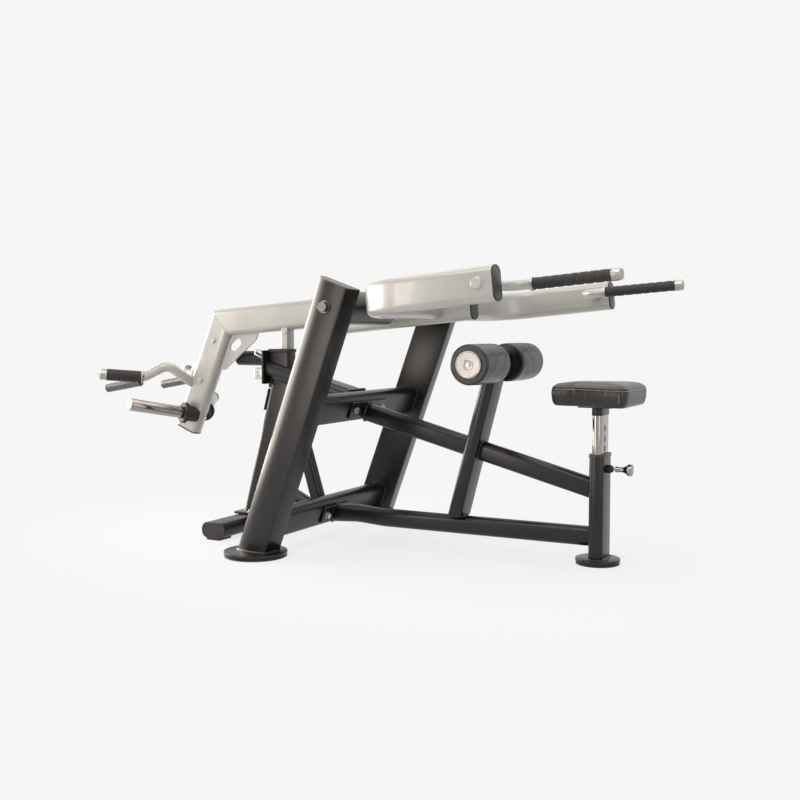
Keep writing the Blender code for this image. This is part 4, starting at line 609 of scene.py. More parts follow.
# Roller axle: a zinc bar with a disc at each end, dished round a small screw. The discs are
# turned aluminium, clear anodised: bright but soft.
ALUMINIUM = (mottled("turned_clear_anodised_aluminium", {"Scale": 160.0, "Detail": 3.0},
                     ("#918e8a", "#b9b6b1"), (0.25, 0.42), metallic=1.0), "zinc")
AXLE_END = 0.2648
disc_profile = [(0, 0), (0.0450, 0), (0.0450, 0.0024), (0.0440, 0.0036), (0.0415, 0.0040), (0.0400, 0.0030),
                (0.0180, 0.0026), (0.0165, 0.0034), (0.0150, 0.0030), (0.0100, 0.0026), (0, 0.0026)]
discs = [turned(disc_profile, ROLLER_AXIS + Y_AXIS * side * AXLE_END, Y_AXIS * side, 72) for side in (-1, 1)]
make("roller_end_discs", together(*discs), ALUMINIUM, "frame", crease=25)
axle_bar = turned([(0, 0), (0.0125, 0), (0.0125, 2 * AXLE_END), (0, 2 * AXLE_END)],
                  ROLLER_AXIS - Y_AXIS * AXLE_END, Y_AXIS)
axle_screws = [hex_bolt(ROLLER_AXIS + Y_AXIS * side * (AXLE_END + 0.0026), Y_AXIS * side, 0.013, False)
               for side in (-1, 1)]
make("roller_axle_bar", together(axle_bar, *axle_screws), ZINC, "frame", ["roller_axle"])


# Rollers: foam sleeves in black vinyl, with flat glued end rings, a piped edge, and one
# long sewn seam. The vinyl puckers gently between the seam's stitches.
def black_vinyl():
    """Calendered upholstery vinyl: black with a warm brown cast where light grazes it, pebble
    grain, and soft sheen."""
    made = mottled("calendered_black_vinyl", {"Scale": 26.0, "Detail": 5.0, "Roughness": 0.6},
                   ("#131112", "#252020"), (0.20, 0.40), (0.35, 0.72))
    tree = made.node_tree
    cloud = tree.nodes["Noise Texture"].outputs["Fac"]
    # Leather grain is about 1 mm across; it is drawn 2.5 mm across so that it shows
    pebble = add(tree, "TexVoronoi", {"feature": "F1", "Scale": 400.0},
                 {"Vector": tree.nodes["Texture Coordinate"].outputs["Object"]})
    height = add(tree, "Math", {"operation": "ADD"}, {0: pebble.outputs["Distance"], 1: cloud})
    bump = add(tree, "Bump", {"Strength": 0.35, "Distance": 0.0006}, {"Height": height.outputs[0]})
    tree.links.new(bump.outputs[0], tree.nodes["Principled BSDF"].inputs["Normal"])
    return made


VINYL = (black_vinyl(), "black_vinyl")
# Bonded polyester thread, pale grey: matt and twisted
THREAD = (mottled("pale_polyester_thread", {"Scale": 700.0}, ("#8f8a86", "#d9d5d0"), 0.7), "black_vinyl")
ROLLER_RADIUS = 0.068
ROLLER_START = 0.060
ROLLER_LENGTH = 0.203
SEAM_ANGLE = np.radians(-28)


def stitches(path, outward, length=0.0042, gap=0.0022, radius=0.0006, lift=0.0004):
    """Row of stitches along a path: capsules length long, one every length + gap, each a
    grid of rings whose radius is radius * sqrt(1 - u^4) for u from -1 to 1 along it."""
    step = lengths(path)
    centres = np.arange(length, step[-1] - length, length + gap)
    middle = sample(path, step, centres)
    run = unit(sample(path, step, centres + 0.001) - middle)
    out = sample(outward, step, centres)
    out = unit(out - (out * run).sum(1)[:, None] * run)
    side = np.cross(run, out)
    u = np.array([-1.0, -0.8, 0.0, 0.8, 1.0])[:, None, None]
    angle = whole_turn(6)[:, None]
    swell = radius * np.sqrt(np.maximum(0, 1 - u ** 4)) + 0.00002
    around = np.cos(angle) * out[:, None, None] + np.sin(angle) * side[:, None, None]
    grid = (middle + out * lift)[:, None, None] + u * length / 2 * run[:, None, None] + swell * around
    return together(*(skin(one) for one in grid))


def about_axle(radius, angle, y):
    """Points at a radius and an angle about the roller axle, y along it."""
    return np.stack(np.broadcast_arrays(ROLLER_AXIS[0] + radius * np.cos(angle), y,
                                        ROLLER_AXIS[2] + radius * np.sin(angle)), -1)


def roller_shape(side):
    """Sleeve along Y: radius is the body's, eased to the end rings, and sunk at the seam by
    1.6 mm exp(-(arc / 5 mm)^2), with shallow puckers 0.5 mm deep beside it."""
    lip = np.linspace(0, 0.056, 15)
    v = np.concatenate([lip, np.linspace(0.062, 1 - 0.062, 56), 1 - lip[::-1]])[:, None]
    edge = np.minimum(v, 1 - v) * ROLLER_LENGTH
    swell = 0.0010 * np.sin(np.pi * v) - 0.0042 * np.clip(1 - edge / 0.0046, 0, 1) ** 2
    pipe = -0.0011 * np.exp(-((edge - 0.0075) / 0.0012) ** 2)
    angle = whole_turn(96)
    arc = np.abs((angle - SEAM_ANGLE + np.pi) % (2 * np.pi) - np.pi) * ROLLER_RADIUS
    body_share = np.clip((edge - 0.009) / 0.01, 0, 1)
    sink = -0.0016 * np.exp(-(arc / 0.005) ** 2) * body_share
    pucker = 0.0005 * np.sin(v * ROLLER_LENGTH / 0.016 * 2 * np.pi) * np.exp(-(arc / 0.030) ** 2)
    drift = 0.0007 * np.sin(3 * angle + 9 * v) * np.sin(7 * v + 2 * angle)
    radius = ROLLER_RADIUS - 0.0008 + (swell + pipe) + sink + (pucker + drift) * body_share
    sleeve = about_axle(radius, angle, side * (ROLLER_START + v * ROLLER_LENGTH))
    end_radii = np.array([0.0128, 0.030, 0.050, 0.0605])[:, None]
    inner_end = about_axle(end_radii, angle, side * ROLLER_START)
    outer_end = about_axle(end_radii[::-1], angle, side * (ROLLER_START + ROLLER_LENGTH))
    along_seam = side * (ROLLER_START + np.linspace(0.022, ROLLER_LENGTH - 0.022, 40))
    seam_line = about_axle(ROLLER_RADIUS - 0.0012, SEAM_ANGLE, along_seam)
    return skin(np.concatenate([inner_end, sleeve, outer_end, inner_end[:1]]), lids=False), seam_line


for hand, side in (("left", -1), ("right", 1)):
    sleeve, seam_line = roller_shape(side)
    body = "roller_" + hand
    roller = make("roller_sleeve_" + hand, sleeve, VINYL, body, [body], crease=50)
    out = unit((seam_line - ROLLER_AXIS) * (1, 0, 1))
    make("roller_stitching_" + hand, stitches(seam_line + out * 0.0012, out), THREAD, body)


# Seat tube: flat-sided oval tube, broad face to the front, on a round flange, with the pin's
# housing on its front, a plugged bolt on its back and a plastic bush round its mouth.
TUBE_X = SEAT_X + 0.0045
TUBE_FACE = 0.025
PIN_Z = 0.3205
seat_outline = flat_oval(0.108, 0.049, 0.015)
seat_foot, seat_weld, seat_mouth = (side_view(TUBE_X, z) for z in (UPRIGHT_LOW, FLANGE_TOP, 0.360))
seat_flange = [(0, 0), (0.0715, 0), (0.0738, 0.0008), (0.0745, 0.003), (0.0745, 0.009), (0.0738, 0.0112),
               (0.0715, 0.012), (0, 0.012)]
housing = [(0, -0.002), (0.0140, -0.002), (0.0140, 0.0120), (0.0125, 0.0135), (0.0110, 0.0140),
           (0.0110, 0.0190), (0.0100, 0.0200), (0, 0.0200)]
make("seat_tube_body", together(bar(seat_outline, [seat_foot, seat_mouth], Y_AXIS),
                                turned(seat_flange, (SEAT_X, 0, FLANGE_BASE), Z_AXIS, 72),
                                turned(housing, (TUBE_X + TUBE_FACE, 0, PIN_Z), X_AXIS, 40)),
     BLACK, "frame", ["seat_tube"])
seat_ring = carried(seat_outline * 1.04, [seat_weld, seat_mouth], Y_AXIS)[0]
make("seat_tube_weld", bead(seat_ring, 0.004), WELD_BLACK, "frame")
make("seat_tube_bolt", hex_bolt((TUBE_X - TUBE_FACE, 0, PIN_Z), -X_AXIS, 0.016, False), ZINC, "frame")
bush_outer = flat_oval(0.112, 0.053, 0.017)
bush_inner = flat_oval(0.1004, 0.0324, 0.0122)
bush_steps = [(bush_inner, 0.3603), (bush_outer, 0.3603), (bush_outer, 0.3700), (bush_outer * 0.985, 0.3715),
              (bush_inner, 0.3715), (bush_inner, 0.3603)]
bush_rings = [np.column_stack([TUBE_X - outline[:, 1], outline[:, 0], np.full(len(outline), level)])
              for outline, level in bush_steps]
make("seat_tube_collar", skin(np.array(bush_rings), lids=False), PLASTIC, "frame", ["seat_tube_bush"])


# Pull pin: chromed steel with a flared, turned knob. Decorative chrome on polished steel is
# nearly a mirror, with faint polishing haze.
CHROME = (mottled("bright_chrome_plate", {"Scale": 35.0, "Detail": 5.0}, ("#857f7a", "#aca7a2"), (0.05, 0.16),
                  metallic=1.0), "chrome")
PIN_INSIDE = 0.021
pin_long = TUBE_FACE + 0.020 + 0.0093 - PIN_INSIDE
knob = [(0.0098, 0), (0.010, 0.001), (0.010, 0.006), (0.0088, 0.010), (0.0086, 0.020), (0.0105, 0.028),
        (0.0150, 0.036), (0.0195, 0.041), (0.0203, 0.043), (0.0203, 0.050), (0.0190, 0.0545), (0.0150, 0.056),
        (0, 0.0565)]
pin_profile = [(0, 0), (0.004, 0), (0.005, 0.001), (0.005, pin_long)] + [(r, pin_long + h) for r, h in knob]
pin_shape = turned(pin_profile, (TUBE_X + PIN_INSIDE, 0, PIN_Z), X_AXIS)
make("pull_pin_knob", pin_shape, CHROME, "pull_pin", ["pull_pin"])


# Seat post: chromed oblong tube with a column of slots that the pin drops into, in a black
# collar under the pad. The slots are cut 6 mm deep, and a dark rubber sheet at the bottom of
# each is painted shade, standing for the dark inside of the hollow post.
PAD_BASE = 0.5301
SLOT_PITCH = 0.0337
SLOT_DEPTH = 0.0060
slot_outline = flat_oval(0.0215, 0.0110, 0.0055)
slot_face = TUBE_X + 0.0155
slot_heights = [PIN_Z + (step - 3) * SLOT_PITCH for step in range(8)]
post_ends = [side_view(TUBE_X, 0.150), side_view(TUBE_X, PAD_BASE - 0.003)]
seat_post = make("seat_post_tube", bar(flat_oval(0.099, 0.031, 0.0115), post_ends, Y_AXIS), CHROME, "seat",
                 ["seat_post"])


def slot_plugs(back, front, scale=1.0):
    """The column of slots as prisms between two depths from the post's face."""
    return together(*(bar(slot_outline * scale, [(slot_face + back, 0, level), (slot_face + front, 0, level)],
                          Z_AXIS, soft=0.00005) for level in slot_heights))


def cut(piece, vertices, faces):
    """Take a closed shape out of a piece with an exact Boolean, and keep the result as its mesh."""
    cutter_mesh = bpy.data.meshes.new("cutter")
    cutter_mesh.from_pydata((vertices + FEET).tolist(), [], faces)
    cutter = bpy.data.objects.new("cutter", cutter_mesh)
    bpy.context.scene.collection.objects.link(cutter)
    difference = piece.modifiers.new("slots", "BOOLEAN")
    difference.operation = "DIFFERENCE"
    difference.solver = "EXACT"
    difference.object = cutter
    bpy.context.view_layer.update()
    cut_mesh = bpy.data.meshes.new_from_object(piece.evaluated_get(bpy.context.evaluated_depsgraph_get()))
    piece.modifiers.clear()
    piece.data = cut_mesh
    bpy.data.objects.remove(cutter)


cut(seat_post, *slot_plugs(-SLOT_DEPTH, 0.004))
# Painted shade: thin dark rubber sheets at the slots' bottoms stand for the shade inside the hollow post
make("seat_post_slot_shade", slot_plugs(-SLOT_DEPTH - 0.0004, -SLOT_DEPTH + GAP, 0.985), RUBBER, "seat")
collar_ends = [side_view(TUBE_X, PAD_BASE - 0.031), side_view(TUBE_X, PAD_BASE - 0.0042)]
mount_ends = [side_view(TUBE_X, PAD_BASE - 0.0043), side_view(TUBE_X, PAD_BASE - GAP)]
make("seat_mount_collar", together(bar(flat_oval(0.102, 0.035, 0.0125), collar_ends, Y_AXIS),
                                   bar(round_box(0.140, 0.120, 0.012), mount_ends, Y_AXIS, soft=0.0008)),
     BLACK, "seat", ["seat_mount"])


# Seat pad: foam on board in black vinyl, narrow at the nose, drawn in at a waist and broad
# at the rear, with a crowned top, a sewn edge and puckered sides.
PAD_SHIFT = -0.0035
STITCH = (0.0052, 0.0018, 0.0008)


def pad_outline(s):
    """Plan of the pad for s from 0 to 1 round it, through its corner points, each turned
    into an arc."""
    half = np.array([(0.965, 0.060), (0.973, 0.084), (1.030, 0.094), (1.048, 0.088), (1.075, 0.098),
                     (1.160, 0.128), (1.205, 0.139), (1.232, 0.136), (1.240, 0.110)])
    corners = np.concatenate([half, (half * (1, -1))[::-1]])
    radii = [0.026, 0.024, 0.030, 0.016, 0.030, 0.08, 0.045, 0.026, 0.026]
    line = ring_of(corners, radii + radii[::-1], 8)
    line = np.vstack([line, line[:1]])
    length = lengths(line)
    return sample(line, length, s * length[-1]) + (PAD_SHIFT, 0)


s = np.linspace(0, 1, 220, endpoint=False)
plan = pad_outline(s)
middle = np.array([1.115, 0.0])
outward = np.roll(plan, -1, 0) - np.roll(plan, 1, 0)
outward = unit(np.stack([-outward[:, 1], outward[:, 0]], 1))
outward *= np.sign(((plan - middle) * outward).sum(1))[:, None]
folds = (0.0005 * np.sin(s * 2 * np.pi * 37) + 0.0004 * np.sin(s * 2 * np.pi * 61 + 1.3))[:, None]
# Share of the plan's size, offset outwards, height, share of the side folds
pad_rows = [
    (0.00, 0.0, 0.000, 0), (0.60, 0.0, 0.000, 0), (1.0, -0.024, 0.000, 0), (1.0, -0.0140, 0.001, 0.2),
    (1.0, -0.0085, 0.005, 0.8), (1.0, -0.0045, 0.013, 1), (1.0, -0.0016, 0.025, 1),
    (1.0, -0.0004, 0.037, 0.8), (1.0, 0.0, 0.044, 0.6), (1.0, -0.0008, 0.052, 0.4),
    (1.0, -0.0022, 0.0576, 0.2), (1.0, -0.0040, 0.0598, 0), (1.0, -0.0032, 0.0614, 0),
    (1.0, -0.0044, 0.0634, 0), (1.0, -0.0066, 0.0636, 0), (1.0, -0.0085, 0.0656, 0),
    (1.0, -0.0140, 0.0700, 0), (1.0, -0.0240, 0.0742, 0), (0.75, -0.014, 0.0774, 0),
    (0.5, 0.0, 0.0793, 0), (0.25, 0.0, 0.0799, 0), (0.0, 0.0, 0.0801, 0)]
pad_rings = []
for scale, offset, height, fold in pad_rows:
    flat = middle + (plan + outward * offset - middle) * scale + outward * folds * fold
    pad_rings.append(np.column_stack([flat, np.full(len(flat), PAD_BASE + height)]))
pad = make("seat_cushion", skin(np.array(pad_rings), lids=False), VINYL, "seat", ["seat_pad"], crease=60)
edge_out = np.column_stack([outward, np.zeros(len(plan))])
edge_line = np.column_stack([plan + outward * -0.0012, np.full(len(plan), PAD_BASE + 0.0560)])
seams = [stitches(np.vstack([edge_line, edge_line[:1]]), np.vstack([edge_out, edge_out[:1]]), *STITCH)]
for seam_y in (0.128, -0.128):
    spot = np.argmin(np.linalg.norm(plan - (1.214 + PAD_SHIFT, seam_y), axis=1))
    level = np.linspace(0.014, 0.054, 24)
    skew = np.interp(level, [0.013, 0.025, 0.037, 0.048, 0.055],
                     [-0.0045, -0.0016, -0.0004, -0.0002, -0.0012])
    drop = np.column_stack([plan[spot] + outward[spot] * (skew[:, None] + 0.0004), PAD_BASE + level])
    seams.append(stitches(drop, np.broadcast_to(edge_out[spot], drop.shape), *STITCH))
make("seat_stitching", together(*seams), THREAD, "seat")


# Rear foot: a low flat-sided bar across the back, with rubber end caps and soles.
FOOT_X = -0.280
FOOT_HALF = 0.0285
FOOT_Z = FLANGE_BASE + FOOT_HALF
SOLE_Y = 0.2371
HEEL_Y = 0.2723


def block(size, radius, x, y, low, high, soft=0.0012):
    """Upright block with rounded corners between two levels, its size given along X and Y."""
    return bar(round_box(*size, radius), [(x, y, low), (x, y, high)], X_AXIS, soft=soft)


foot_outline = flat_oval(0.105, 2 * FOOT_HALF)
foot_ends = [side_view(FOOT_X, FOOT_Z, -0.270), side_view(FOOT_X, FOOT_Z, 0.270)]
make("rear_foot_tube", bar(foot_outline, foot_ends, X_AXIS), BLACK, "frame", ["rear_foot_bar"])
foot_rubber = together(plug(foot_outline, foot_ends[1] + Y_AXIS * GAP, Y_AXIS, X_AXIS, 0.0030, 0.0010),
                       block((0.060, 0.0743), 0.004, FOOT_X, SOLE_Y, 0.0, 0.0080),
                       block((0.060, 0.0040), 0.0015, FOOT_X, HEEL_Y, 0.002, FOOT_Z))
make_pair("rear_foot_rubber", foot_rubber, RUBBER, "frame", "rear_foot")


# Rear column: flat-sided tube on a bolted foot plate, leaning up to the head link, with a
# narrow plate welded up its rear side.
COLUMN_X = FOOT_X + 0.012
PLATE_LOW = FOOT_Z + FOOT_HALF + GAP
PLATE_HIGH = PLATE_LOW + 0.008
column_run = above(downhill(14.5))
column_side = -above(column_run)
column_foot = side_view(COLUMN_X, PLATE_LOW + 0.0065)
link_run = downhill(15)
link_normal = above(link_run)
link_middle = side_view(0.0702, 0.561)
column_head = meet(column_foot, column_run, link_middle - link_normal * (TUBE_HALF + GAP), link_run)
rear_low = column_foot + column_run * 0.40 - column_side * 0.0550
column_outline = foot_outline * (1, TUBE_HALF / FOOT_HALF)
make("rear_column_tube",
     together(bar(column_outline, [column_foot, column_head], column_side, (Z_AXIS, link_normal), WELDED),
              block((0.140, 0.140), 0.010, COLUMN_X, 0, PLATE_LOW, PLATE_HIGH, 0.001),
              bar(round_box(0.008, 0.044, 0.003), [rear_low, rear_low + column_run * 0.085], column_side)),
     BLACK, "frame", ["rear_column"])
column_rings = carried(foot_outline * 1.03, [side_view(COLUMN_X, PLATE_HIGH), column_head], column_side,
                       (Z_AXIS, link_normal))
make("rear_column_welds", together(bead(column_rings[0]), bead(column_rings[1])), WELD_BLACK, "frame")
foot_bolts = [hex_bolt((COLUMN_X, y, PLATE_HIGH), Z_AXIS, 0.018) for y in (-0.052, 0.052)]
make("rear_plate_bolts", together(*foot_bolts), ZINC, "frame")


# Head: the link from the upper cross member back to the plate that stops the lever, with its
# stop post and rubber pad, the bar behind it, a small lug and a bent clip. The clip's slot is
# painted shade: a thin dark rubber sheet on its near face.
def refinish(node, finish):
    """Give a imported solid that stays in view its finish."""
    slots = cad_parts[node].data.materials
    slots.clear()
    slots.append(finish[0])


link_front = meet(link_middle, link_run, UPPER_CENTRE - FORWARD_LEAN * 0.0368, UP_LEAN)
link_rear = meet(link_middle, link_run, side_view(-0.1957, 0), Z_AXIS)
link_shape = together(bar(TUBE, [link_rear, link_front], Y_AXIS, (X_AXIS, FORWARD_LEAN), WELDED),
                      end_plate(UPPER_CENTRE, -1, 0.128, 0.020))
make("head_link_tube", link_shape, BLACK, "frame", ["head_link"])
head_plate = bar(round_box(0.129, 0.142, 0.006), [(-0.204, 0.009, 0.6395), (-0.196, 0.009, 0.6395)], Z_AXIS,
                 soft=0.001)
stop_post = block((0.0905, 0.056), 0.004, -0.15125, 0, 0.560, 0.6967)
stop_bar = turned([(0, 0), (0.026, 0), (0.0282, 0.0008), (0.029, 0.003), (0.029, 0.178), (0.0282, 0.1802),
                   (0.026, 0.181), (0, 0.181)], (-0.204, 0.045, 0.671), -X_AXIS, 64)
make("stop_head_plate", together(head_plate, stop_post, stop_bar), BLACK, "frame", ["stop_head"])
refinish("stop_pad", RUBBER)
lug_ends = [(-0.250, -0.030, 0.614), (-0.204, -0.030, 0.614)]
clip_run = unit(np.array([-0.92, 0, 0.38]))
clip_start = side_view(-0.2035, 0.6800, -0.032)
clip_ends = [clip_start, clip_start + clip_run * 0.046]
make("stop_head_lugs", together(bar(round_box(0.032, 0.044, 0.004), lug_ends, Y_AXIS, soft=0.003),
                                bar(round_box(0.030, 0.022, 0.003), clip_ends, Y_AXIS, soft=0.002)),
     ZINC, "frame")
# Painted shade: a thin dark sheet on the clip's near face stands for the shade inside its slot
slot_shade_ends = [clip_start - Y_AXIS * 0.0150 + clip_run * step for step in (0.006, 0.040)]
clip_slot_shade = bar(round_box(0.0010, 0.009, 0.0004), slot_shade_ends, Y_AXIS, soft=0.0002)
make("stop_head_clip_slot_shade", clip_slot_shade, RUBBER, "frame")


# Braces: flat-sided oval tube in the centre plane, from the lower cross member up to the
# link and the column. The steep one starts a little inside the cross member.
for name, start, end, width, lead in (
        ("steep_brace", side_view(0.009, 0.145), side_view(-0.128, 0.590), 0.056, 0.010),
        ("low_brace", side_view(0.004, 0.098), side_view(-0.225, 0.208), 0.050, 0.0)):
    run = unit(end - start)
    brace = bar(flat_oval(width, 0.045, 0.018), [start - run * lead, end], -above(run), soft=WELDED)
    make(name + "_tube", brace, BLACK, "frame", [name])


# Pivot: black covers fixed between the uprights and the hub, on one through shaft whose
# hexagon heads stand on the uprights' outer faces. The shaft's zinc plating is dulled by a
# dark passivate and oil: grey-brown steel, with a soft shine.
DARK_STEEL = (mottled("dark_passivated_steel", {"Scale": 70.0, "Detail": 4.0}, ("#4c4a49", "#7c7976"),
                      (0.28, 0.45), metallic=0.9), "zinc")
cover = turned([(0.0154, 0), (0.0560, 0), (0.0570, 0.001), (0.0570, 0.3302), (0.0560, 0.3312),
                (0.0154, 0.3312), (0.0154, 0)], PIVOT + Y_AXIS * 0.0565, Y_AXIS, 72)
make_pair("pivot_sleeve", cover, BLACK, "frame", "pivot_cover")
shaft_end = UPRIGHT_INNER + UPRIGHT_REACH + GAP
shaft = turned([(0, 0), (0.015, 0), (0.015, 2 * shaft_end), (0, 2 * shaft_end)], PIVOT - Y_AXIS * shaft_end,
               Y_AXIS)
heads = [hex_bolt(PIVOT + Y_AXIS * side * (shaft_end - 0.001), Y_AXIS * side, 0.0320) for side in (-1, 1)]
make("pivot_through_shaft", together(shaft, *heads), DARK_STEEL, "frame", ["pivot_shaft"])


# Lever: silver-painted flat-sided tube. The rear beam runs from the hub to a mitre with
# the drop leg, and the front beam from under the hub to the yoke.
def silver_paint():
    """Silver-grey polyester powder coat with a clear top coat: fine aluminium flake, cool grey-green
    cast in shade, and sharp soft-box highlights from the clear coat."""
    made = bpy.data.materials.new("clear_coated_silver_powder_coat")
    made.use_nodes = True
    tree = made.node_tree
    surface = tree.nodes["Principled BSDF"]
    for socket, value in (("Metallic", 0.25), ("Roughness", 0.38), ("Coat Weight", 0.5),
                          ("Coat Roughness", 0.05)):
        surface.inputs[socket].default_value = value
    place = add(tree, "TexCoord").outputs["Object"]
    # Aluminium flake is under 0.1 mm; it is drawn 3 mm across as a faint mottle
    flake = add(tree, "TexNoise", {"Scale": 340.0, "Detail": 2.0}, {"Vector": place}).outputs["Fac"]
    cloud = add(tree, "TexNoise", {"Scale": 5.0, "Detail": 2.0}, {"Vector": place}).outputs["Fac"]
    both = add(tree, "Math", {"operation": "MULTIPLY_ADD", 1: 0.35}, {0: flake, 2: cloud})
    tint = add(tree, "ValToRGB", links={0: both.outputs[0]})
    for stop, position, code in zip(tint.color_ramp.elements, (0.35, 1.0), ("#9fa09d", "#b4b5b1")):
        stop.position = position
        stop.color = shade(code)
    tree.links.new(tint.outputs["Color"], surface.inputs["Base Color"])
    bump = add(tree, "Bump", {"Strength": 0.05, "Distance": 0.0004}, {"Height": flake})
    tree.links.new(bump.outputs[0], surface.inputs["Normal"])
    return made


SILVER = (silver_paint(), "silver_paint")
REAR_SLOPE, REAR_HEIGHT = 0.0775, 0.869
FRONT_SLOPE, FRONT_HEIGHT = 0.0942, 0.8392
LEG_LOW = 0.388


def beam_at(x, height, slope):
    """Point at x on a beam's centre line, given its height over the pivot and its slope."""
    return side_view(x, height + (x - PIVOT[0]) * slope)


def leg_at(height):
    """Point of the drop leg's centre line at a height."""
    return mitre + leg_run * ((height - mitre[2]) / leg_run[2])


beam_run = unit(np.array([1, 0, REAR_SLOPE]))
beam_up = above(beam_run)
mitre = beam_at(-0.4245, REAR_HEIGHT, REAR_SLOPE)
leg_run = unit(np.array([0.4257, 0, 1]))
leg_front = -above(leg_run)
leg_end = leg_at(LEG_LOW)
mitre_plane = unit(beam_run + leg_run)
beam_ends = [mitre + mitre_plane * GAP, beam_at(0.295, REAR_HEIGHT, REAR_SLOPE)]
rear_beam = bar(TUBE, beam_ends, beam_up, (mitre_plane, X_AXIS), 0.0006)
make("rear_beam_tube", rear_beam, SILVER, "lever", ["rear_beam"])
drop_leg = bar(TUBE, [leg_end, mitre - mitre_plane * GAP], leg_front, (None, mitre_plane), 0.0006)
make("drop_leg_tube", drop_leg, SILVER, "lever", ["drop_leg"])
front_run = unit(np.array([1, 0, FRONT_SLOPE]))
front_up = above(front_run)
front_beam = [beam_at(x, FRONT_HEIGHT, FRONT_SLOPE) for x in (0.100, 0.650)]
# Its sides lie 0.3 mm inside the rear beam's, so that the two never share a face
make("front_beam_tube", bar(flat_oval(0.108, 0.0594), front_beam, front_up), SILVER, "lever", ["front_beam"])
hub_profile = [(0.050, 0), (0.0555, 0), (0.057, 0.0015), (0.057, 0.1085), (0.0555, 0.110), (0.050, 0.110),
               (0.050, 0)]
make("lever_hub", turned(hub_profile, PIVOT - Y_AXIS * 0.055, Y_AXIS, 72), SILVER, "lever", ["hub_tube"])


# Yoke: two halves of flat-sided tube that leave the front beam's sides, bend forward and
# carry the handles, with a round weld-nut boss on each outer face.
HANDLE_X, HANDLE_Z = 0.925, 0.912
YOKE_X, YOKE_Z = 0.510, 0.870
CAP = (0.0040, 0.0042)
tilt_run = downhill(-5.4)
tilt_up = above(tilt_run)
yoke_corner = side_view(YOKE_X, YOKE_Z, 0.578)
yoke_end = yoke_corner + tilt_run * (0.973 - YOKE_X) / tilt_run[0]
yoke_path = arcs([side_view(YOKE_X, YOKE_Z, 0.020), yoke_corner, yoke_end], (0.170,), 32)
nut_profile = [(0, 0), (0.021, 0), (0.0218, 0.0006), (0.0205, 0.0022), (0.0175, 0.0034), (0.0168, 0.0046),
               (0.0150, 0.0056), (0, 0.0062)]
weld_nut = turned(nut_profile, (HANDLE_X, 0.6070, HANDLE_Z), Y_AXIS)
make_pair("yoke_arm", together(bar(TUBE, yoke_path, tilt_up), weld_nut), SILVER, "lever", "yoke", crease=26)
yoke_cap = plug(TUBE, yoke_end + tilt_run * GAP, tilt_run, tilt_up, *CAP)
make_pair("yoke_plug", yoke_cap, PLASTIC, "lever", "arm_cap")
beam_cap = plug(TUBE, front_beam[1] + front_run * GAP, front_run, front_up, *CAP)
make("front_beam_plug", beam_cap, PLASTIC, "lever", ["beam_cap"])
leg_cap = plug(TUBE, leg_end - leg_run * GAP, -leg_run, leg_front, *CAP)
make("drop_leg_plug", leg_cap, PLASTIC, "lever", ["drop_leg_cap"])


# Front handles: bent round tube through the yoke's arms, with an aluminium collar, a
# spirally ribbed rubber grip and an aluminium end.
def hoop(radius, steps=32):
    """Circle as an outline."""
    angle = whole_turn(steps)
    return np.stack([radius * np.cos(angle), radius * np.sin(angle)], 1)


def spiral_grip(start, run, length, radius, pitch, depth):
    """Ribbed sleeve: radius falls by depth * (0.5 + 0.5 cos(2 pi (x / pitch) - a)) ** 6, a shallow
    groove that winds once round the sleeve in each pitch."""
    run = unit(run)
    side = unit(np.cross(run, Z_AXIS))
    rise = np.cross(run, side)
    x = np.linspace(0, length, 200)[:, None]
    angle = whole_turn(48)
    groove = (0.5 + 0.5 * np.cos(2 * np.pi * x / pitch - angle)) ** 6
    ends = np.clip(np.minimum(x, length - x) / 0.0015, 0, 1)
    size = radius - depth * groove - 0.0008 * (1 - ends)
    spoke = np.cos(angle)[:, None] * side + np.sin(angle)[:, None] * rise
    return skin(start + x[..., None] * run + size[..., None] * spoke)


GRIP_LENGTH = 0.248
handle_corner = side_view(HANDLE_X, HANDLE_Z, 0.3665)
grip_run = unit(np.array([0.338, 0.0275, 0.0270]))
grip_start = handle_corner + grip_run * 0.090
grip_end = grip_start + grip_run * GRIP_LENGTH
handle_path = arcs([side_view(HANDLE_X, HANDLE_Z, 0.612), handle_corner, grip_end], (0.060,), 20)
collar = turned([(0, 0), (0.0190, 0), (0.0208, 0.0008), (0.0210, 0.002), (0.0210, 0.008), (0.0205, 0.0097),
                 (0.0195, 0.010), (0, 0.010)], grip_start - grip_run * (0.010 + GAP), grip_run)
handle_end = turned([(0, 0), (0.0190, 0), (0.0200, 0.001), (0.0200, 0.0030), (0.0192, 0.0040),
                     (0.0195, 0.012), (0.0192, 0.020), (0.0180, 0.0265), (0.0160, 0.0292), (0.0120, 0.0300),
                     (0.0060, 0.0297), (0.0045, 0.0280), (0, 0.0278)], grip_end + grip_run * GAP, grip_run)
make_pair("front_handle_tube", bar(hoop(0.016), handle_path, Z_AXIS), SILVER, "lever", "front_handle")
front_ends = together(collar, handle_end)
make_pair("front_handle_ends", front_ends, ALUMINIUM, "lever", slot="silver_paint", crease=25)
front_grip = spiral_grip(grip_start, grip_run, GRIP_LENGTH, 0.0185, 0.031, 0.0016)
make_pair("front_grip_sleeve", front_grip, RUBBER, "lever", "front_grip", crease=60)


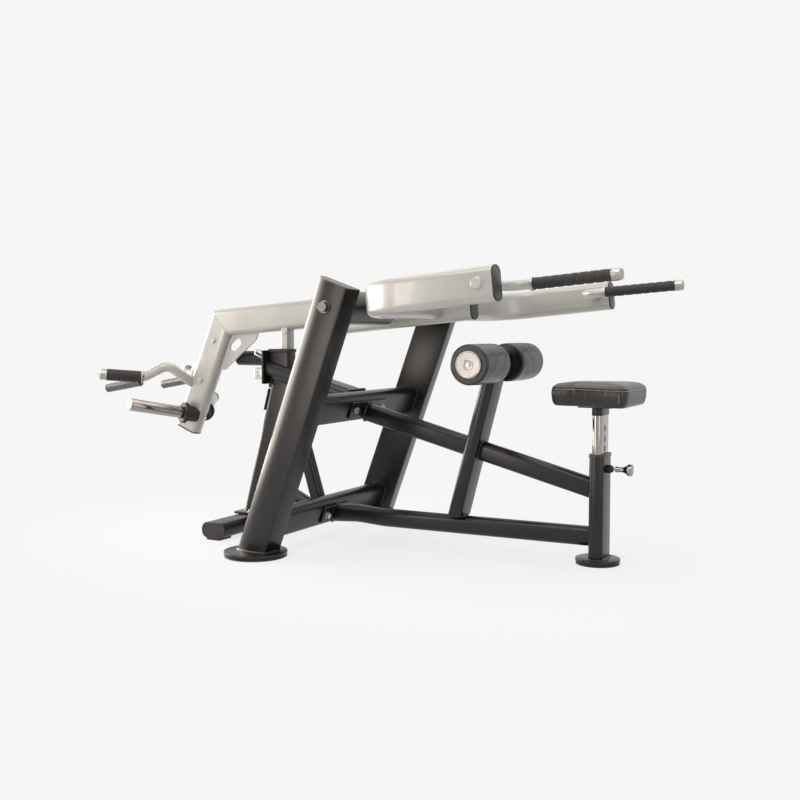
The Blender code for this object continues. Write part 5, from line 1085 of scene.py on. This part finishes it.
# Rear handles: bent tube from the drop leg with a flared collar, plain grip and end, and
# a dark steel peg below each.
REAR_GRIP = 0.130
rear_root = side_view(-0.5690, 0.567, 0.015)
rear_apex = side_view(-0.630, 0.643, 0.100)
rear_collar = side_view(-0.704, 0.5955, 0.155)
rear_run = unit(np.array([-0.105, 0.095, 0.0115]))
rear_start = rear_collar + rear_run * 0.012
rear_end = rear_start + rear_run * REAR_GRIP
rear_path = arcs([rear_root, rear_apex, rear_collar, rear_end], (0.045, 0.030), 16)
flare = turned([(0, 0), (0.0205, 0), (0.0225, 0.0015), (0.0250, 0.006), (0.0262, 0.0110), (0.0255, 0.012),
                (0, 0.012)], rear_start - rear_run * (0.012 + GAP), rear_run)
rear_cap = turned([(0, 0), (0.0220, 0), (0.0230, 0.001), (0.0230, 0.003), (0.0215, 0.006), (0.0212, 0.014),
                   (0.0220, 0.021), (0.0215, 0.0255), (0.0190, 0.0278), (0.0130, 0.0280), (0.0050, 0.0276),
                   (0, 0.0276)], rear_end + rear_run * GAP, rear_run)
make_pair("rear_handle_tube", bar(hoop(0.019), rear_path, Z_AXIS), SILVER, "lever", "rear_handle")
rear_ends = together(flare, rear_cap)
make_pair("rear_handle_ends", rear_ends, ALUMINIUM, "lever", slot="silver_paint", crease=25)
rear_grip = spiral_grip(rear_start, rear_run, REAR_GRIP, 0.023, 0.2, 0.0003)
make_pair("rear_grip_sleeve", rear_grip, RUBBER, "lever", "rear_grip", crease=60)
peg_start = side_view(-0.712, 0.578, 0.165)
peg_end = side_view(-0.880, 0.549, 0.170)
peg_long = np.linalg.norm(peg_end - peg_start)
peg = turned([(0, 0), (0.0165, 0), (0.018, 0.0015), (0.018, peg_long - 0.0015), (0.0165, peg_long),
              (0.013, peg_long), (0.012, peg_long - 0.002), (0, peg_long - 0.002)],
             peg_start, peg_end - peg_start)
make_pair("rear_peg", peg, DARK_STEEL, "lever", slot="silver_paint", crease=25)
end_screw = hex_bolt(rear_end + rear_run * 0.0279, rear_run, 0.009, False)
make_pair("rear_handle_screw", end_screw, DARK_STEEL, "lever")


# Plate horns: chromed tube swept back from the drop leg, with a rubber stop ring and sleeve
# at the root and an aluminium cap.
SWEEP, RISE = np.radians(28), np.radians(10.5)
horn_run = np.array([-np.sin(SWEEP) * np.cos(RISE), np.cos(SWEEP) * np.cos(RISE), np.sin(RISE)])
horn_root = leg_at(0.452) + leg_front * 0.018 + Y_AXIS * (TUBE_HALF + GAP)
horn_end = horn_root + horn_run * 0.262
ring_base = horn_root + horn_run * (np.tan(SWEEP) * 0.042 + 0.006)
horn_ring = turned([(0.0243, -0.044), (0.0300, -0.044), (0.0310, -0.001), (0.036, 0), (0.0400, 0.0010),
                    (0.042, 0.0040), (0.042, 0.0160), (0.0400, 0.0190), (0.036, 0.020), (0.0300, 0.0185),
                    (0.0243, 0.0185), (0.0243, -0.044)], ring_base, horn_run, 64)
horn_cap = turned([(0, 0), (0.0245, 0), (0.025, 0.001), (0.025, 0.0045), (0.0235, 0.007), (0.0210, 0.008),
                   (0.0090, 0.008), (0.0080, 0.0095), (0.0070, 0.011), (0, 0.011)], horn_end, horn_run)
horn_tube = bar(hoop(0.024, 64), [horn_root, horn_end], Z_AXIS, (Y_AXIS, None))
make_pair("plate_horn_tube", horn_tube, CHROME, "lever", "plate_horn")
make_pair("plate_horn_ring", horn_ring, RUBBER, "lever", "horn_ring", crease=25)
make_pair("plate_horn_cap", horn_cap, ALUMINIUM, "lever", slot="chrome", crease=25)


# Small fittings of the lever: bolts through the drop leg, the dark strip down its rear
# edge, the gusset, the hub's bearings and the stop foot under the beam.
leg_bolts = [hex_bolt(leg_at(height) + Y_AXIS * side * TUBE_HALF, Y_AXIS * side, 0.018)
             for height in (0.740, 0.5826) for side in (-1, 1)]
leg_bolts += [hex_bolt(leg_at(height) + leg_front * 0.0538, leg_front, 0.014, False)
              for height in (0.600, 0.449)]
make("drop_leg_bolts", together(*leg_bolts), ZINC, "lever")
strip_ends = [leg_at(height) - leg_front * 0.0562 for height in (0.498, 0.672)]
edge_strip = bar(round_box(0.005, 0.010, 0.001), strip_ends, leg_front)
make("drop_leg_strip", edge_strip, DARK_STEEL, "lever", slot="silver_paint")
foot_low, foot_high = (np.array(corner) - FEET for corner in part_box("stop_foot"))
foot_x = foot_high[0] - 0.0140
foot_block = block((0.028, 0.050), 0.004, foot_x, 0, foot_low[2], foot_high[2] + 0.0015, 0.001)
foot_bolt = hex_bolt((foot_x + 0.004, -0.025, 0.770), -Y_AXIS, 0.010, False)
make("stop_foot_block", together(foot_block, foot_bolt), SILVER, "lever", ["stop_foot"])
refinish("gusset_plate", SILVER)
refinish("pivot_bearing_left", ZINC)
refinish("pivot_bearing_right", ZINC)
